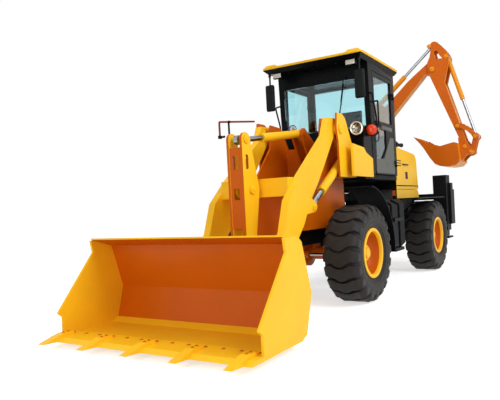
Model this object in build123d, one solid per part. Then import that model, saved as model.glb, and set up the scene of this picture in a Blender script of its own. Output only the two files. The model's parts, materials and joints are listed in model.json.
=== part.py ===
from build123d import *
import math
import os

# Backhoe loader: four equal wheels, Z-bar loader in front, side-shift backhoe behind.
# Millimetres. The machine is drawn from the front axle's middle on the ground:
# +X is the machine's left, +Y is rearward, +Z is up. save() moves it to the origin
# in the middle of the whole machine's footprint.
ORIGIN_X = 136.0
ORIGIN_Y = 795.0

# --- driving sizes -----------------------------------------------------------
WHEELBASE = 2645.0
TANK_Y0 = 762.0
WHEEL_X = 725.0            # middle of each tyre from the mid-plane
TYRE_R = 537.5
TYRE_W = 410.0
RIM_R = 254.0              # bead seat
FLANGE_R = 276.0
AXLE_Z = TYRE_R
LUGS = 20
SIDES = 24                 # flats round a rim and an axle housing
KINGPIN_X = 540.0
FIT = 0.3                  # gap of a pin in its bore
GAP = 5.0                  # least gap between moving pieces

FRAME_X = 215.0            # outer face of a chassis rail
FRAME_T = 50.0
FRAME_Z0, FRAME_Z1 = 650.0, 850.0
FRAME_Y0, FRAME_Y1 = -560.0, 3240.0

ARM_X0, ARM_X1 = 410.0, 490.0          # inner and outer face of a loader arm
TOWER_IN, TOWER_OUT = 352.0, 548.0     # far faces of the tower's two plates
TOWER_T = 24.0
ARM_PIVOT = (50.0, 1945.0)             # (y, z)
BUCKET_PIVOT = (-1600.0, 290.0)
LIFT_BASE = (350.0, 1665.0)
LIFT_EYE = (-550.0, 1080.0)
CRANK_PIVOT = (-1090.0, 1280.0)
CRANK_TOP = (-1150.0, 1770.0)
CRANK_LOW = (-1150.0, 640.0)
BUCKET_LINK_PIN = (-1560.0, 500.0)
BUCKET_HALF = 1062.0

CAB_X = 650.0              # outer face of the cab's side
CAB_Y0, CAB_Y1 = 760.0, 1620.0
CAB_Z0, CAB_Z1 = 1440.0, 2830.0
SILL_Z = 2020.0            # lower edge of the windscreen
HEADER_Z = 2650.0          # its upper edge
POST = 60.0                # cab post's thickness
DOOR_T = 36.0
HINGE_X, HINGE_Y = 668.0, 1536.0       # upright line of a door's hinge pins
DOOR_HINGES = (1560.0, 2480.0)
ROOF_Z0, ROOF_Z = 2874.0, 2906.0

HOOD_X = 600.0
HOOD_Y0, HOOD_Y1 = 1700.0, 2720.0
HOOD_Z0, HOOD_Z1 = 1260.0, 1860.0
HOOD_HINGE = (2700.0, 1238.0)          # (y, z)

HOE_Y = 3980.0             # plane in which the parked backhoe lies
SWING_X = -450.0
BOOM_FOOT = (-180.0, 950.0)            # (x, z)
DIPPER_PIVOT = (600.0, 3380.0)
HOE_BUCKET_PIVOT = (1108.0, 1967.0)
LEVER_PIVOT = (1000.0, 2330.0)
LEVER_END = (1285.0, 2125.0)
HOE_LINK_PIN = (1212.0, 1868.0)
HOE_BUCKET_W = 600.0
RAIL_Y = 3560.0            # rear face of the side-shift rails
CARRIAGE_HALF = 200.0
BOOM_RAM_BASE = (-30.0, 770.0)
BOOM_RAM_EYE = (-60.0, 1750.0)
DIPPER_RAM_BASE = (-480.0, 2900.0)
DIPPER_RAM_EYE = (560.0, 3790.0)
BUCKET_RAM_BASE = (850.0, 3565.0)
STEER_Y = -175.0           # line of the steering cylinder, ahead of the front axle
STAB_X = 780.0


# --- drawing helpers ----------------------------------------------------------
def slab_x(outline, x0, x1):
    """A plate across the machine from an outline of (y, z) points."""
    face = Plane.YZ.offset(x0) * Polygon(*outline, align=None)
    return extrude(face, amount=x1 - x0, dir=(1, 0, 0))


def slab_y(outline, y0, y1):
    """A plate along the machine from an outline of (x, z) points."""
    plane = Plane(origin=(0, y1, 0), x_dir=(1, 0, 0), z_dir=(0, -1, 0))
    return extrude(plane * Polygon(*outline, align=None), amount=y1 - y0, dir=(0, -1, 0))


def slab_z(outline, z0, z1):
    """A flat plate from an outline of (x, y) points."""
    face = Plane.XY.offset(z0) * Polygon(*outline, align=None)
    return extrude(face, amount=z1 - z0, dir=(0, 0, 1))


def hull_x(rounds, x0, x1):
    """A plate round circles of (y, z, radius)."""
    edges = [e for y, z, r in rounds for e in (Pos(y, z) * Circle(r)).edges()]
    return extrude(Plane.YZ.offset(x0) * make_hull(edges), amount=x1 - x0, dir=(1, 0, 0))


def hull_y(rounds, y0, y1):
    """A plate round circles of (x, z, radius)."""
    plane = Plane(origin=(0, y1, 0), x_dir=(1, 0, 0), z_dir=(0, -1, 0))
    edges = [e for x, z, r in rounds for e in (Pos(x, z) * Circle(r)).edges()]
    return extrude(plane * make_hull(edges), amount=y1 - y0, dir=(0, -1, 0))


def box(x0, x1, y0, y1, z0, z1):
    return Pos((x0 + x1) / 2, (y0 + y1) / 2, (z0 + z1) / 2) * Box(x1 - x0, y1 - y0, z1 - z0)


def bar(p, q, r):
    """A round bar from p to q."""
    axis = Vector(*q) - Vector(*p)
    return extrude(Plane(origin=p, z_dir=axis) * Circle(r), amount=axis.length)


def pin_x(centre, r, x0, x1):
    y, z = centre
    return bar((x0, y, z), (x1, y, z), r)


def pin_y(centre, r, y0, y1):
    x, z = centre
    return bar((x, y0, z), (x, y1, z), r)


def both(solid):
    """The solid and its mirror on the machine's other side."""
    return [solid, mirror(solid, about=Plane.YZ)]


def fuse(*shapes):
    whole = shapes[0]
    for shape in shapes[1:]:
        whole = whole + shape
    return whole


def between(p, q, share):
    return tuple(a + (b - a) * share for a, b in zip(p, q))


def save(name, *shapes):
    """Write one node, moved from the machine's axes to the part's origin."""
    solids = [s for shape in shapes for s in shape.solids()]
    whole = Compound(children=[Pos(-ORIGIN_X, -ORIGIN_Y, 0) * s for s in solids])
    export_step(whole, f"parts/{name}.step")


# --- wheels ---------------------------------------------------------------------
def ring(sections, sides=SIDES):
    """A solid about X with flat sides, from a table of (x, radius to its corners)."""
    turns = [math.tau * n / sides for n in range(sides)]
    loops = [[(x, r * math.cos(a), r * math.sin(a)) for a in turns] for x, r in sections]
    faces = [Face(Wire.make_polygon(loop)) for loop in (loops[0], loops[-1])]
    for near, far in zip(loops, loops[1:]):
        faces += [Face(Wire.make_polygon((near[n - 1], near[n], far[n], far[n - 1]))) for n in range(sides)]
    return Solid(Shell(faces))


def tyre(x, y):
    """A cross-ply tyre with wavy bars right across its tread."""
    half = TYRE_W / 2
    root = TYRE_R - 34
    carcass = ring([(-168, RIM_R + 24), (-half, 400), (-half + 12, 455), (-150, root),
                    (150, root), (half - 12, 455), (half, 400), (168, RIM_R + 24)], LUGS)
    carcass -= ring([(-half, RIM_R + 2 * FIT), (half, RIM_R + 2 * FIT)])
    wide = 42
    # (across, along the tread) down the middle of one bar
    wave = [(-half, 30), (-50, -28), (50, 28), (half, -30)]
    top = TYRE_R
    outline = [(a, b + wide) for a, b in wave] + [(a, b - wide) for a, b in reversed(wave)]
    bar_block = slab_z(outline, 440, top)
    bar_block &= slab_y([(-half, 440), (-half, 470), (-150, top), (150, top), (half, 470), (half, 440)],
                        -TYRE_W, TYRE_W)
    whole = carcass.fuse(*[Rot(360 / LUGS * n, 0, 0) * bar_block for n in range(LUGS)])
    return Pos(x, y, AXLE_Z) * whole


def rim(x, y, side):
    """A dished steel rim whose open side faces away from the machine."""
    barrel = ring([(-170, RIM_R), (170, RIM_R)])
    lips = [ring([(-185, FLANGE_R), (-169, FLANGE_R)]), ring([(169, FLANGE_R), (185, FLANGE_R)])]
    front = ring([(186, 236), (150, 232), (60, 206), (30, 150)])
    back = ring([(-186, 236), (-20, 232), (0, 150)])
    cap = bar((28, 0, 0), (95, 0, 0), 92) + bar((95, 0, 0), (118, 0, 0), 60)
    bore = bar((-40, 0, 0), (18, 0, 0), 50 + FIT)
    whole = fuse(barrel, *lips) - front - back + cap - bore
    if side < 0:
        whole = mirror(whole, about=Plane.YZ)
    return Pos(x, y, AXLE_Z) * whole


# --- chassis --------------------------------------------------------------------
def main_frame():
    rail = box(FRAME_X - FRAME_T, FRAME_X, FRAME_Y0, FRAME_Y1, FRAME_Z0, FRAME_Z1)
    pieces = both(rail)
    # cross members: (front face, rear face)
    for y0, y1 in ((-300, -200), (500, 580), (1250, 1350), (2100, 2180), (3140, FRAME_Y1)):
        pieces.append(box(-FRAME_X + 1, FRAME_X - 1, y0, y1, FRAME_Z0 + 10, FRAME_Z1 - 10))
    nose = slab_x([(-600, 640), (-560, 620), (-560, 1260), (-600, 1250)], -280, 280)
    eye = hull_x([(-640, 700, 45), (-590, 700, 60)], -20, 20) - pin_x((-640, 700), 21, -30, 30)
    deck = box(-FRAME_X, FRAME_X, -560, -540, 850, 1240)
    return fuse(*pieces, nose, deck, eye)


def loader_tower():
    """The two fork posts that carry the arms, on plates that stand on the chassis."""
    pieces = []
    inner = slab_x([(-560, 830), (480, 830), (480, 1300), (420, 1700), (190, 2060), (-40, 2075),
                    (-70, 1950), (-60, 1800), (-560, 1240)], TOWER_IN - TOWER_T, TOWER_IN)
    outer = slab_x([(0, 1400), (440, 1400), (440, 1640), (190, 2080), (120, 2120), (-20, 2120),
                    (-45, 1950), (-10, 1800)], TOWER_OUT - TOWER_T, TOWER_OUT)
    back = box(TOWER_IN - 1, TOWER_OUT - TOWER_T + 1, 420, 440, 1400, 1640)
    shelf = box(TOWER_IN - 1, TOWER_OUT - TOWER_T + 1, 140, 440, 1400, 1420)
    foot = box(FRAME_X, TOWER_IN - TOWER_T + 1, -560, 480, FRAME_Z1 - 20, FRAME_Z1)
    arm_pin = pin_x(ARM_PIVOT, 35, TOWER_IN - TOWER_T - 14, TOWER_OUT + 14)
    lift_pin = pin_x(LIFT_BASE, 28, TOWER_IN - TOWER_T - 10, TOWER_OUT + 10)
    for part in (inner, outer, back, shelf, foot, arm_pin, lift_pin):
        pieces += both(part)
    bridge = box(-TOWER_IN + TOWER_T - 1, TOWER_IN - TOWER_T + 1, 300, 324, 900, 1800)
    lug = hull_x([(ARM_PIVOT[0], ARM_PIVOT[1], 62), (300, 1760, 70), (300, 1500, 70)], 52, 76)
    tilt_pin = pin_x(ARM_PIVOT, 30, -88, 88)
    pieces += both(lug)
    return fuse(*pieces, bridge, tilt_pin)


def axle(y, steered):
    """A drive axle: differential housing, two tubes and what carries the hubs."""
    end = KINGPIN_X - 60 if steered else WHEEL_X - 60
    bulb = Pos(0, y, AXLE_Z) * ring([(-150, 75), (-105, 150), (105, 150), (150, 75)])
    bulb &= box(-160, 160, y - 200, y + 200, AXLE_Z - 160, FRAME_Z0)
    tube = bar((-end, y, AXLE_Z), (end, y, AXLE_Z), 72)
    pads = [box(a, b, y - 60, y + 60, AXLE_Z, FRAME_Z0) for a, b in
            ((FRAME_X - FRAME_T, FRAME_X), (-FRAME_X, -FRAME_X + FRAME_T))]
    start, stop = (y, y + 240) if steered else (y - 140, y - 240)
    nose = bar((0, start, AXLE_Z), (0, stop, AXLE_Z), 60)
    whole = fuse(bulb, tube, nose, *pads)
    if steered:
        for side in (1, -1):
            x = side * KINGPIN_X
            x0, x1 = sorted((side * (end - 30), x + side * 38))
            for z0, z1 in ((AXLE_Z + 82, AXLE_Z + 112), (AXLE_Z - 112, AXLE_Z - 82)):
                whole += box(x0, x1, y - 38, y + 38, z0, z1)
            x0, x1 = sorted((side * (end - 30), side * (end)))
            whole += box(x0, x1, y - 38, y + 38, AXLE_Z - 112, AXLE_Z + 112)
            whole += bar((x, y, AXLE_Z - 125), (x, y, AXLE_Z - 60), 22)
            whole += bar((x, y, AXLE_Z + 60), (x, y, AXLE_Z + 125), 22)
        barrel = bar((-190, STEER_Y, AXLE_Z), (190, STEER_Y, AXLE_Z), 38)
        whole += barrel
        whole -= bar((-200, STEER_Y, AXLE_Z), (200, STEER_Y, AXLE_Z), 16 + FIT)
    else:
        for side in (1, -1):
            whole += bar((side * (WHEEL_X - 80), y, AXLE_Z), (side * (WHEEL_X - 26), y, AXLE_Z), 100)
            whole += bar((side * (WHEEL_X - 40), y, AXLE_Z), (side * (WHEEL_X + 12), y, AXLE_Z), 50)
    return whole


def knuckle(side):
    """The piece that turns on the kingpin and carries the front hub's spindle."""
    x = side * KINGPIN_X
    x0, x1 = sorted((x - side * 34, x + side * 60))
    core = box(x0, x1, -45, 45, AXLE_Z - 76, AXLE_Z + 76)
    core -= bar((x, 0, AXLE_Z - 90), (x, 0, AXLE_Z - 59), 22 + FIT)
    core -= bar((x, 0, AXLE_Z + 59), (x, 0, AXLE_Z + 90), 22 + FIT)
    drum = bar((x + side * 58, 0, AXLE_Z), (side * (WHEEL_X - 26), 0, AXLE_Z), 100)
    spindle = bar((side * (WHEEL_X - 40), 0, AXLE_Z), (side * (WHEEL_X + 12), 0, AXLE_Z), 50)
    x0, x1 = sorted((x - side * 5, x + side * 35))
    arm = box(x0, x1, STEER_Y - 20, -40, AXLE_Z - 12, AXLE_Z + 12)
    return fuse(core, drum, spindle, arm)


def steering_rod():
    """The steering cylinder's through rod, forked over the knuckles' arms at both ends."""
    rod = bar((-470, STEER_Y, AXLE_Z), (470, STEER_Y, AXLE_Z), 16)
    for side in (1, -1):
        x0, x1 = sorted((side * 450, side * 475))
        rod += box(x0, x1, STEER_Y - 22, STEER_Y + 22, AXLE_Z - 30, AXLE_Z + 30)
        x0, x1 = sorted((side * 470, side * 560))
        for z0, z1 in ((AXLE_Z + 18, AXLE_Z + 30), (AXLE_Z - 30, AXLE_Z - 18)):
            rod += box(x0, x1, STEER_Y - 22, STEER_Y + 22, z0, z1)
    return rod


def driveline():
    """Gearbox under the cab with a shaft to each axle."""
    gearbox = box(-150, 150, 950, 1450, 440, FRAME_Z0 + 10)
    front = bar((0, 240, AXLE_Z), (0, 951, AXLE_Z), 34)
    rear = bar((0, 1449, AXLE_Z), (0, WHEELBASE - 240, AXLE_Z), 34)
    return fuse(gearbox, front, rear)


def engine_block():
    feet = [box(a, b, 2200, 2300, FRAME_Z1, 900) for a, b in ((165, 200), (-200, -165))]
    return fuse(box(-200, 200, 1850, 2620, 880, 1560), *feet)


# --- cab --------------------------------------------------------------------------
def cab_floor():
    """Floor pan and the stepped lower front that reaches forward to the tower."""
    floor = box(-CAB_X + 34, CAB_X - 34, 560, CAB_Y1 + 60, 1380, 1440)
    legs = [box(a, b, c, c + 90, FRAME_Z1, 1381) for a, b in ((150, 215), (-215, -150)) for c in (700, 1450)]
    return fuse(floor, *legs)


def cab_frame():
    """Posts, sills and top rails of the cab: open at the windows and at both doors."""
    outer = slab_x([(CAB_Y0, CAB_Z0), (CAB_Y1, CAB_Z0), (CAB_Y1, CAB_Z1), (CAB_Y0 - 60, CAB_Z1),
                    (CAB_Y0 - 40, 2300), (CAB_Y0, 1700)], -CAB_X, CAB_X)
    inner = slab_x([(CAB_Y0 + 40, CAB_Z0 - 10), (CAB_Y1 - POST, CAB_Z0 - 10),
                    (CAB_Y1 - POST, CAB_Z1 - POST), (CAB_Y0 - 5, CAB_Z1 - POST), (CAB_Y0 + 10, 2300),
                    (CAB_Y0 + 40, 1700)],
                   -CAB_X + POST, CAB_X - POST)
    shell = outer - inner
    front = box(-CAB_X + 70, CAB_X - 70, CAB_Y0 - 200, CAB_Y0 + 80, SILL_Z, HEADER_Z)
    rear = box(-CAB_X + 70, CAB_X - 70, CAB_Y1 - 100, CAB_Y1 + 20, 2010, CAB_Z1 - 90)
    side = box(-CAB_X - 10, CAB_X + 10, CAB_Y0 + 60, CAB_Y1 - POST - 20, CAB_Z0 - 20, CAB_Z1 - 80)
    hinges = []
    for z in DOOR_HINGES:
        hinges += both(fuse(box(CAB_X - 8, HINGE_X + 9, HINGE_Y + 6, HINGE_Y + 26, z, z + 26),
                            bar((HINGE_X, HINGE_Y, z), (HINGE_X, HINGE_Y, z + 26), 11),
                            bar((HINGE_X, HINGE_Y, z + 20), (HINGE_X, HINGE_Y, z + 84), 5)))
    cowl = slab_x([(480, 1755), (560, 1695), (CAB_Y0 + 1, 1640), (CAB_Y0 + 1, SILL_Z - 10),
                   (620, SILL_Z + 20), (500, SILL_Z - 20)], -CAB_X + 6, CAB_X - 6)
    eave = Plane.XY.offset(CAB_Z1 - 1) * (Pos(0, 1060) * Rectangle(1300, 1200))
    gutter = Plane.XY.offset(ROOF_Z0) * (Pos(0, 1040) * Rectangle(1390, 1280))
    return shell - front - rear - side + cowl + loft([eave, gutter], ruled=True) + hinges


def cab_roof():
    """A thin pressed cap that stands out over the windscreen, with a raised rail along each side."""
    low = Plane.XY.offset(ROOF_Z0) * (Pos(0, 1040) * RectangleRounded(1400, 1290, 60))
    high = Plane.XY.offset(ROOF_Z0 + 22) * (Pos(0, 1040) * RectangleRounded(1424, 1314, 70))
    crown = Plane.XY.offset(ROOF_Z) * (Pos(0, 1040) * RectangleRounded(1370, 1260, 50))
    whole = loft([low, high], ruled=True) + loft([high, crown], ruled=True)
    rail = slab_y([(470, ROOF_Z - 2), (520, ROOF_Z + 26), (650, ROOF_Z + 26), (684, ROOF_Z - 2)], 420, 1660)
    return fuse(whole, *both(rail))


def door(side):
    """A framed door with a window in its upper and in its narrow lower part."""
    y0, y1 = CAB_Y0 + 68, CAB_Y1 - POST - 28
    z0, z1 = CAB_Z0 + 6, CAB_Z1 - 88
    leaf = slab_x([(y0, z0 + 40), (y0 + 40, z0), (y1, z0), (y1, z1), (y0, z1)], CAB_X - DOOR_T, CAB_X)
    upper = slab_x([(y0 + 50, 2130), (y1 - 50, 2130), (y1 - 50, z1 - 50), (y0 + 50, z1 - 50)],
                   CAB_X - 60, CAB_X + 20)
    lower = slab_x([(y0 + 50, 2070), (y0 + 50, 1640), (y0 + 250, 1640), (y0 + 420, 1800), (y0 + 420, 2070)],
                   CAB_X - 60, CAB_X + 20)
    handle = fuse(bar((CAB_X, y0 + 25, 2060), (CAB_X + 55, y0 + 25, 2060), 11),
                  bar((CAB_X + 55, y0 + 25, 2060), (CAB_X + 55, y0 + 25, 2360), 11),
                  bar((CAB_X + 55, y0 + 25, 2360), (CAB_X, y0 + 25, 2360), 11))
    whole = leaf - upper - lower + handle
    for z in DOOR_HINGES:
        whole += bar((HINGE_X, HINGE_Y, z + 32), (HINGE_X, HINGE_Y, z + 80), 11)
        whole += box(CAB_X - 6, HINGE_X, y1 - 30, HINGE_Y, z + 34, z + 78)
        whole -= bar((HINGE_X, HINGE_Y, z + 20), (HINGE_X, HINGE_Y, z + 90), 5 + FIT)
    return whole if side > 0 else mirror(whole, about=Plane.YZ)


def cab_glass():
    """Fixed panes: windscreen and rear window."""
    screen = slab_x([(CAB_Y0 + 10, SILL_Z + 2), (CAB_Y0 + 18, SILL_Z + 2), (CAB_Y0 - 22, 2300),
                     (CAB_Y0 - 32, HEADER_Z - 2), (CAB_Y0 - 40, HEADER_Z - 2), (CAB_Y0 - 30, 2300)],
                    -CAB_X + 71, CAB_X - 71)
    rear = box(-CAB_X + 71, CAB_X - 71, CAB_Y1 - 35, CAB_Y1 - 29, 2012, CAB_Z1 - 92)
    return [screen, rear]


def operator_seat():
    cushion = box(-240, 240, 1080, 1500, 1800, 1900)
    back = slab_x([(1440, 1880), (1500, 1880), (1555, 2400), (1475, 2400)], -220, 220)
    base = box(-170, 170, 1120, 1460, 1440, 1800)
    return fuse(cushion, back, base)


def cab_controls():
    """Steering column and wheel, with the lever console beside it."""
    column = bar((0, 870, 1470), (0, 1000, 2080), 45) + box(-70, 70, 800, 940, 1440, 1490)
    wheel_at = Plane(origin=(0, 1000, 2080), z_dir=(0, 140, 640))
    rim_plate = wheel_at * (RegularPolygon(204, 24) - RegularPolygon(176, 24))
    wheel = extrude(rim_plate, amount=12, both=True)
    spokes = [wheel_at * Rot(0, 0, a) * Pos(95, 0, 0) * Box(190, 26, 12) for a in (90, 210, 330)]
    console = box(260, 330, 1050, 1250, 1440, 1850)
    return [fuse(column, wheel, *spokes), console]


def side_panels():
    """Painted panels between the tower and the doors, joined below the cowl."""
    panel = slab_x([(160, 1405), (CAB_Y0, 1405), (CAB_Y0, 1635), (560, 1695), (480, 1755),
                    (160, 1780)], CAB_X - 34, CAB_X - 6)
    cross = box(-CAB_X + 34, CAB_X - 34, 545, 559, 1440, 1660)
    low, top = HOOD_Z0 - 132, HOOD_Z0 - 6
    engine = slab_x([(HOOD_Y0, low), (HOOD_Y1, low), (HOOD_Y1, top - 60), (HOOD_Y1 - 60, top), (HOOD_Y0, top)],
                    HOOD_X - 20, HOOD_X)
    engine += pin_x(HOOD_HINGE, 10, HOOD_X - 70, HOOD_X - 19)
    engine += slab_x([(HOOD_Y1 - 40, low), (HOOD_Y1, low), (HOOD_Y1, top - 60), (HOOD_Y1 - 8, top - 4),
                      (HOOD_Y1 - 30, top - 4)], HOOD_X - 36, HOOD_X - 19)
    return [cross, *both(panel), *both(engine)]


def front_fenders():
    """Bent sheet over the back of each front tyre."""
    r0, r1 = TYRE_R + 196, TYRE_R + 208
    start, end = -4, 84
    a0, a1 = math.radians(start), math.radians(end)
    with BuildSketch(Plane.YZ.offset(540)) as arc:
        with Locations((0, AXLE_Z)):
            Circle(r1)
            Circle(r0, mode=Mode.SUBTRACT)
            far = 2 * r1
            Polygon((0, 0), (far * math.cos(a0), far * math.sin(a0)), (far, far),
                    (far * math.cos(a1), far * math.sin(a1)), align=None, mode=Mode.INTERSECT)
    sheet = extrude(arc.sketch, amount=350)
    stay = box(FRAME_X, 600, 640, 700, 780, 820)
    return both(sheet + stay)


def steps():
    """The tank under each door and, outside it, two tube hoops with treads."""
    tank = box(FRAME_X, 740, TANK_Y0, 1560, 460, 1120)
    tank = chamfer(tank.edges().filter_by(Axis.Y), 60)
    pieces = [tank]
    for y in (780, 1060):
        pieces.append(bar((840, y, 470), (840, y, 1050), 16))
        pieces.append(bar((840, y, 1050), (735, y, 1105), 16))
    for z in (470, 840):
        pieces.append(box(735, 890, 764, 1076, z, z + 40))
    return both(fuse(*pieces))


def rear_body():
    """The rear deck and mudguards on their legs."""
    guard = box(559, 900, HOOD_Y0, 3130, 1110, 1127)
    deck = box(-560, 560, 2950, 3130, 1110, 1127)
    legs = [box(a, b, c, c + 60, FRAME_Z1, 1112) for a, b in ((165, 215), (-215, -165)) for c in (1720, 3050)]
    cross = box(-HOOD_X + 10, HOOD_X - 10, 1720, 1780, 1110, 1127)
    skirt = slab_x([(HOOD_Y0, 1126), (2240, 1126), (2080, 1010), (HOOD_Y0, 940)], 640, 660)
    return fuse(*both(guard), *both(skirt), deck, cross, *legs)


def hood():
    """One-piece engine hood: a shell open underneath, hinged at its rear edge."""
    outline = [(HOOD_Y0, HOOD_Z0), (HOOD_Y1, HOOD_Z0), (HOOD_Y1 - 60, HOOD_Z1 - 130),
               (HOOD_Y1 - 150, HOOD_Z1 - 60), (HOOD_Y0, HOOD_Z1)]
    inside = [(HOOD_Y0 + 14, HOOD_Z0 - 10), (HOOD_Y1 - 16, HOOD_Z0 - 10), (HOOD_Y1 - 76, HOOD_Z1 - 140),
              (HOOD_Y1 - 160, HOOD_Z1 - 76), (HOOD_Y0 + 14, HOOD_Z1 - 16)]
    shell = slab_x(outline, -HOOD_X, HOOD_X) - slab_x(inside, -HOOD_X + 14, HOOD_X - 14)
    y, z = HOOD_HINGE
    ear = hull_x([(y, z, 18), (y, HOOD_Z0 + 40, 14)], HOOD_X - 62, HOOD_X - 44)
    ear -= pin_x(HOOD_HINGE, 10 + FIT, HOOD_X - 70, HOOD_X - 30)
    return fuse(shell, *both(ear))


def air_cleaner():
    can = bar((470, 1740, HOOD_Z1 + 66), (470, 2060, HOOD_Z1 + 66), 62)
    saddle = slab_x([(1780, 1855), (1830, 1852), (1830, 1900), (1780, 1900)], 440, 500)
    rear_saddle = slab_x([(1980, 1844), (2030, 1841), (2030, 1900), (1980, 1900)], 440, 500)
    return fuse(can, saddle, rear_saddle)


def lamps():
    """Headlights on the cowl's corners and work lamps under the roof's front edge."""
    found = []
    for side in (1, -1):
        x = side * 575
        found.append(bar((x, 400, 1960), (x, 485, 1960), 66))
        x0, x1 = sorted((side * 455, side * 590))
        found.append(box(x0, x1, 464, 520, 2760, CAB_Z1 - 1))
    return found


def mirrors():
    """A mirror hung from the roof's gutter at each front corner."""
    found = []
    for side in (1, -1):
        x = side * 637
        head = box(x - 66, x + 66, 452, 496, 2330, 2650)
        found.append(head + bar((x, 474, 2640), (x, 474, CAB_Z1 - 1), 11))
    return found


# --- loader -------------------------------------------------------------------------
ARM_OUTLINE = [(-120, 2060), (-210, 1860), (-790, 1400), (-1050, 1156), (-1160, 850), (-1540, 380),
               (-1640, 330), (-1650, 240), (-1560, 215), (-1300, 380), (-780, 900), (-610, 1150),
               (-460, 1305), (-310, 1480), (25, 1900), (90, 1915), (120, 2050), (40, 2065)]


def loader_arms():
    arm = slab_x(ARM_OUTLINE, ARM_X0, ARM_X1)
    boss = pin_x(ARM_PIVOT, 55, TOWER_IN + GAP, TOWER_OUT - TOWER_T - GAP)
    arm = arm + boss - pin_x(ARM_PIVOT, 35 + FIT, TOWER_IN, TOWER_OUT)
    arm = arm - pin_x(BUCKET_PIVOT, 32 + FIT, ARM_X0 - 10, ARM_X1 + 10)
    for x0, x1 in ((ARM_X0, ARM_X0 + 12), (ARM_X1 - 12, ARM_X1)):
        arm += hull_x([(LIFT_EYE[0], LIFT_EYE[1], 58), (-700, 1150, 60), (-760, 1060, 60)], x0, x1)
    arm += pin_x(LIFT_EYE, 40, ARM_X0 - 12, ARM_X0 + 1) + pin_x(LIFT_EYE, 40, ARM_X1 - 1, ARM_X1 + 12)
    beam = box(-ARM_X0 - 1, ARM_X0 + 1, -930, -790, 1200, 1385)
    lug = hull_x([(CRANK_PIVOT[0], CRANK_PIVOT[1], 85), (-930, 1290, 85)], 30, 60)
    pivot = pin_x(CRANK_PIVOT, 38, -115, 115)
    return fuse(*both(arm), beam, *both(lug), pivot)


def bellcrank():
    pieces = []
    for x0, x1 in ((66, 94), (-94, -66)):
        cheek = hull_x([(CRANK_TOP[0], CRANK_TOP[1], 70), (CRANK_PIVOT[0], CRANK_PIVOT[1], 130),
                        (CRANK_LOW[0], CRANK_LOW[1], 70)], x0, x1)
        cheek -= pin_x(CRANK_PIVOT, 38 + FIT, x0 - 5, x1 + 5)
        cheek -= hull_x([(-1150, 1600, 24), (-1150, 1500, 24)], x0 - 5, x1 + 5)
        pieces.append(cheek)
    web = box(-67, 67, -1215, -1190, 900, 1080)
    heads = [pin_x(CRANK_TOP, 36, a, b) for a, b in ((93, 108), (-108, -93))]
    low_pin = pin_x(CRANK_LOW, 30, -100, 100)
    return fuse(*pieces, web, *heads, low_pin)


def bucket_link():
    link = hull_x([(CRANK_LOW[0], CRANK_LOW[1], 58), (BUCKET_LINK_PIN[0], BUCKET_LINK_PIN[1], 52)], -40, 40)
    return link - pin_x(CRANK_LOW, 30 + FIT, -50, 50)


BUCKET_SIDE = [(-2416, 61), (-2415, 230), (-2460, 270), (-2070, 760), (-2090, 870), (-1900, 870),
               (-1838, 820), (-1716, 404), (-1818, 96), (-1900, 61)]


def loader_bucket():
    """A welded bucket: bent sheet between two side plates, with a toothed cutting edge."""
    skin_outer = [(-2420, 61), (-1900, 61), (-1810, 100), (-1730, 404), (-1850, 820), (-2085, 890)]
    skin_inner = [(-2085, 876), (-1862, 806), (-1748, 404), (-1826, 116), (-1906, 81), (-2420, 81)]
    skin = slab_x(skin_outer + skin_inner, -BUCKET_HALF + 20, BUCKET_HALF - 20)
    whole = skin
    for x0, x1 in ((BUCKET_HALF - 22, BUCKET_HALF), (-BUCKET_HALF, -BUCKET_HALF + 22)):
        whole += slab_x(BUCKET_SIDE, x0, x1)
    blade = slab_x([(-2560, 58), (-2300, 58), (-2300, 90), (-2520, 90)], -BUCKET_HALF, BUCKET_HALF)
    whole += blade
    for n in range(5):
        x = -960 + n * 480
        whole += slab_x([(-2690, 66), (-2400, 52), (-2400, 118), (-2500, 118)], x - 38, x + 38)
    for x0, x1 in ((ARM_X0 - 31, ARM_X0 - 6), (ARM_X1 + 6, ARM_X1 + 31)):
        ear = slab_x([(-1740, 520), (-1570, 360), (-1530, 290), (-1560, 225), (-1640, 200),
                      (-1800, 120), (-1735, 404)], x0, x1)
        whole += ear + mirror(ear, about=Plane.YZ)
    pivot = pin_x(BUCKET_PIVOT, 32, ARM_X0 - 31, ARM_X1 + 31)
    whole += pivot + mirror(pivot, about=Plane.YZ)
    for x0, x1 in ((46, 71), (-71, -46)):
        whole += slab_x([(-1800, 650), (-1580, 570), (-1500, 530), (-1500, 470), (-1560, 430), (-1735, 390)],
                        x0, x1)
    return whole


def level_rod():
    """The red rod that shows the driver how the bucket lies, on two uprights."""
    rod = bar((-150, -1230, 2000), (-150, -560, 2000), 11)
    post = bar((-150, -1200, 1790), (-150, -1200, 2005), 11)
    foot = bar((-94, -1200, 1800), (-160, -1200, 1800), 11)
    return fuse(rod, post, foot)


def along(base, eye, distance):
    """The point that lies a distance from base towards eye."""
    return between(base, eye, distance / math.hypot(eye[0] - base[0], eye[1] - base[1]))


def loader_ram(base, eye, x, r_barrel, r_rod, barrel_len, rod_start, base_pin):
    """Barrel and rod of a cylinder that lies in a plane across X."""
    barrel = bar((x, *along(base, eye, r_barrel - 14)), (x, *along(base, eye, barrel_len)), r_barrel)
    barrel += pin_x(base, r_barrel + 4, x - 35, x + 35)
    barrel -= pin_x(base, base_pin + FIT, x - r_barrel - 1, x + r_barrel + 1)
    start, stop = (along(base, eye, d) for d in (r_barrel + 45, barrel_len + 60))
    barrel -= bar((x, *start), (x, *stop), r_rod + FIT)
    rod = bar((x, *along(base, eye, rod_start)), (x, *eye), r_rod)
    rod += pin_x(eye, r_rod + 20, x - 22, x + 22)
    flat = 110                 # how far from the eye the rod's end is thinned
    for x0, x1 in ((x - 40, x - 22), (x + 22, x + 40)):
        rod -= box(x0, x1, eye[0] - flat, eye[0] + flat, eye[1] - flat, eye[1] + flat)
    return barrel, rod


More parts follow.
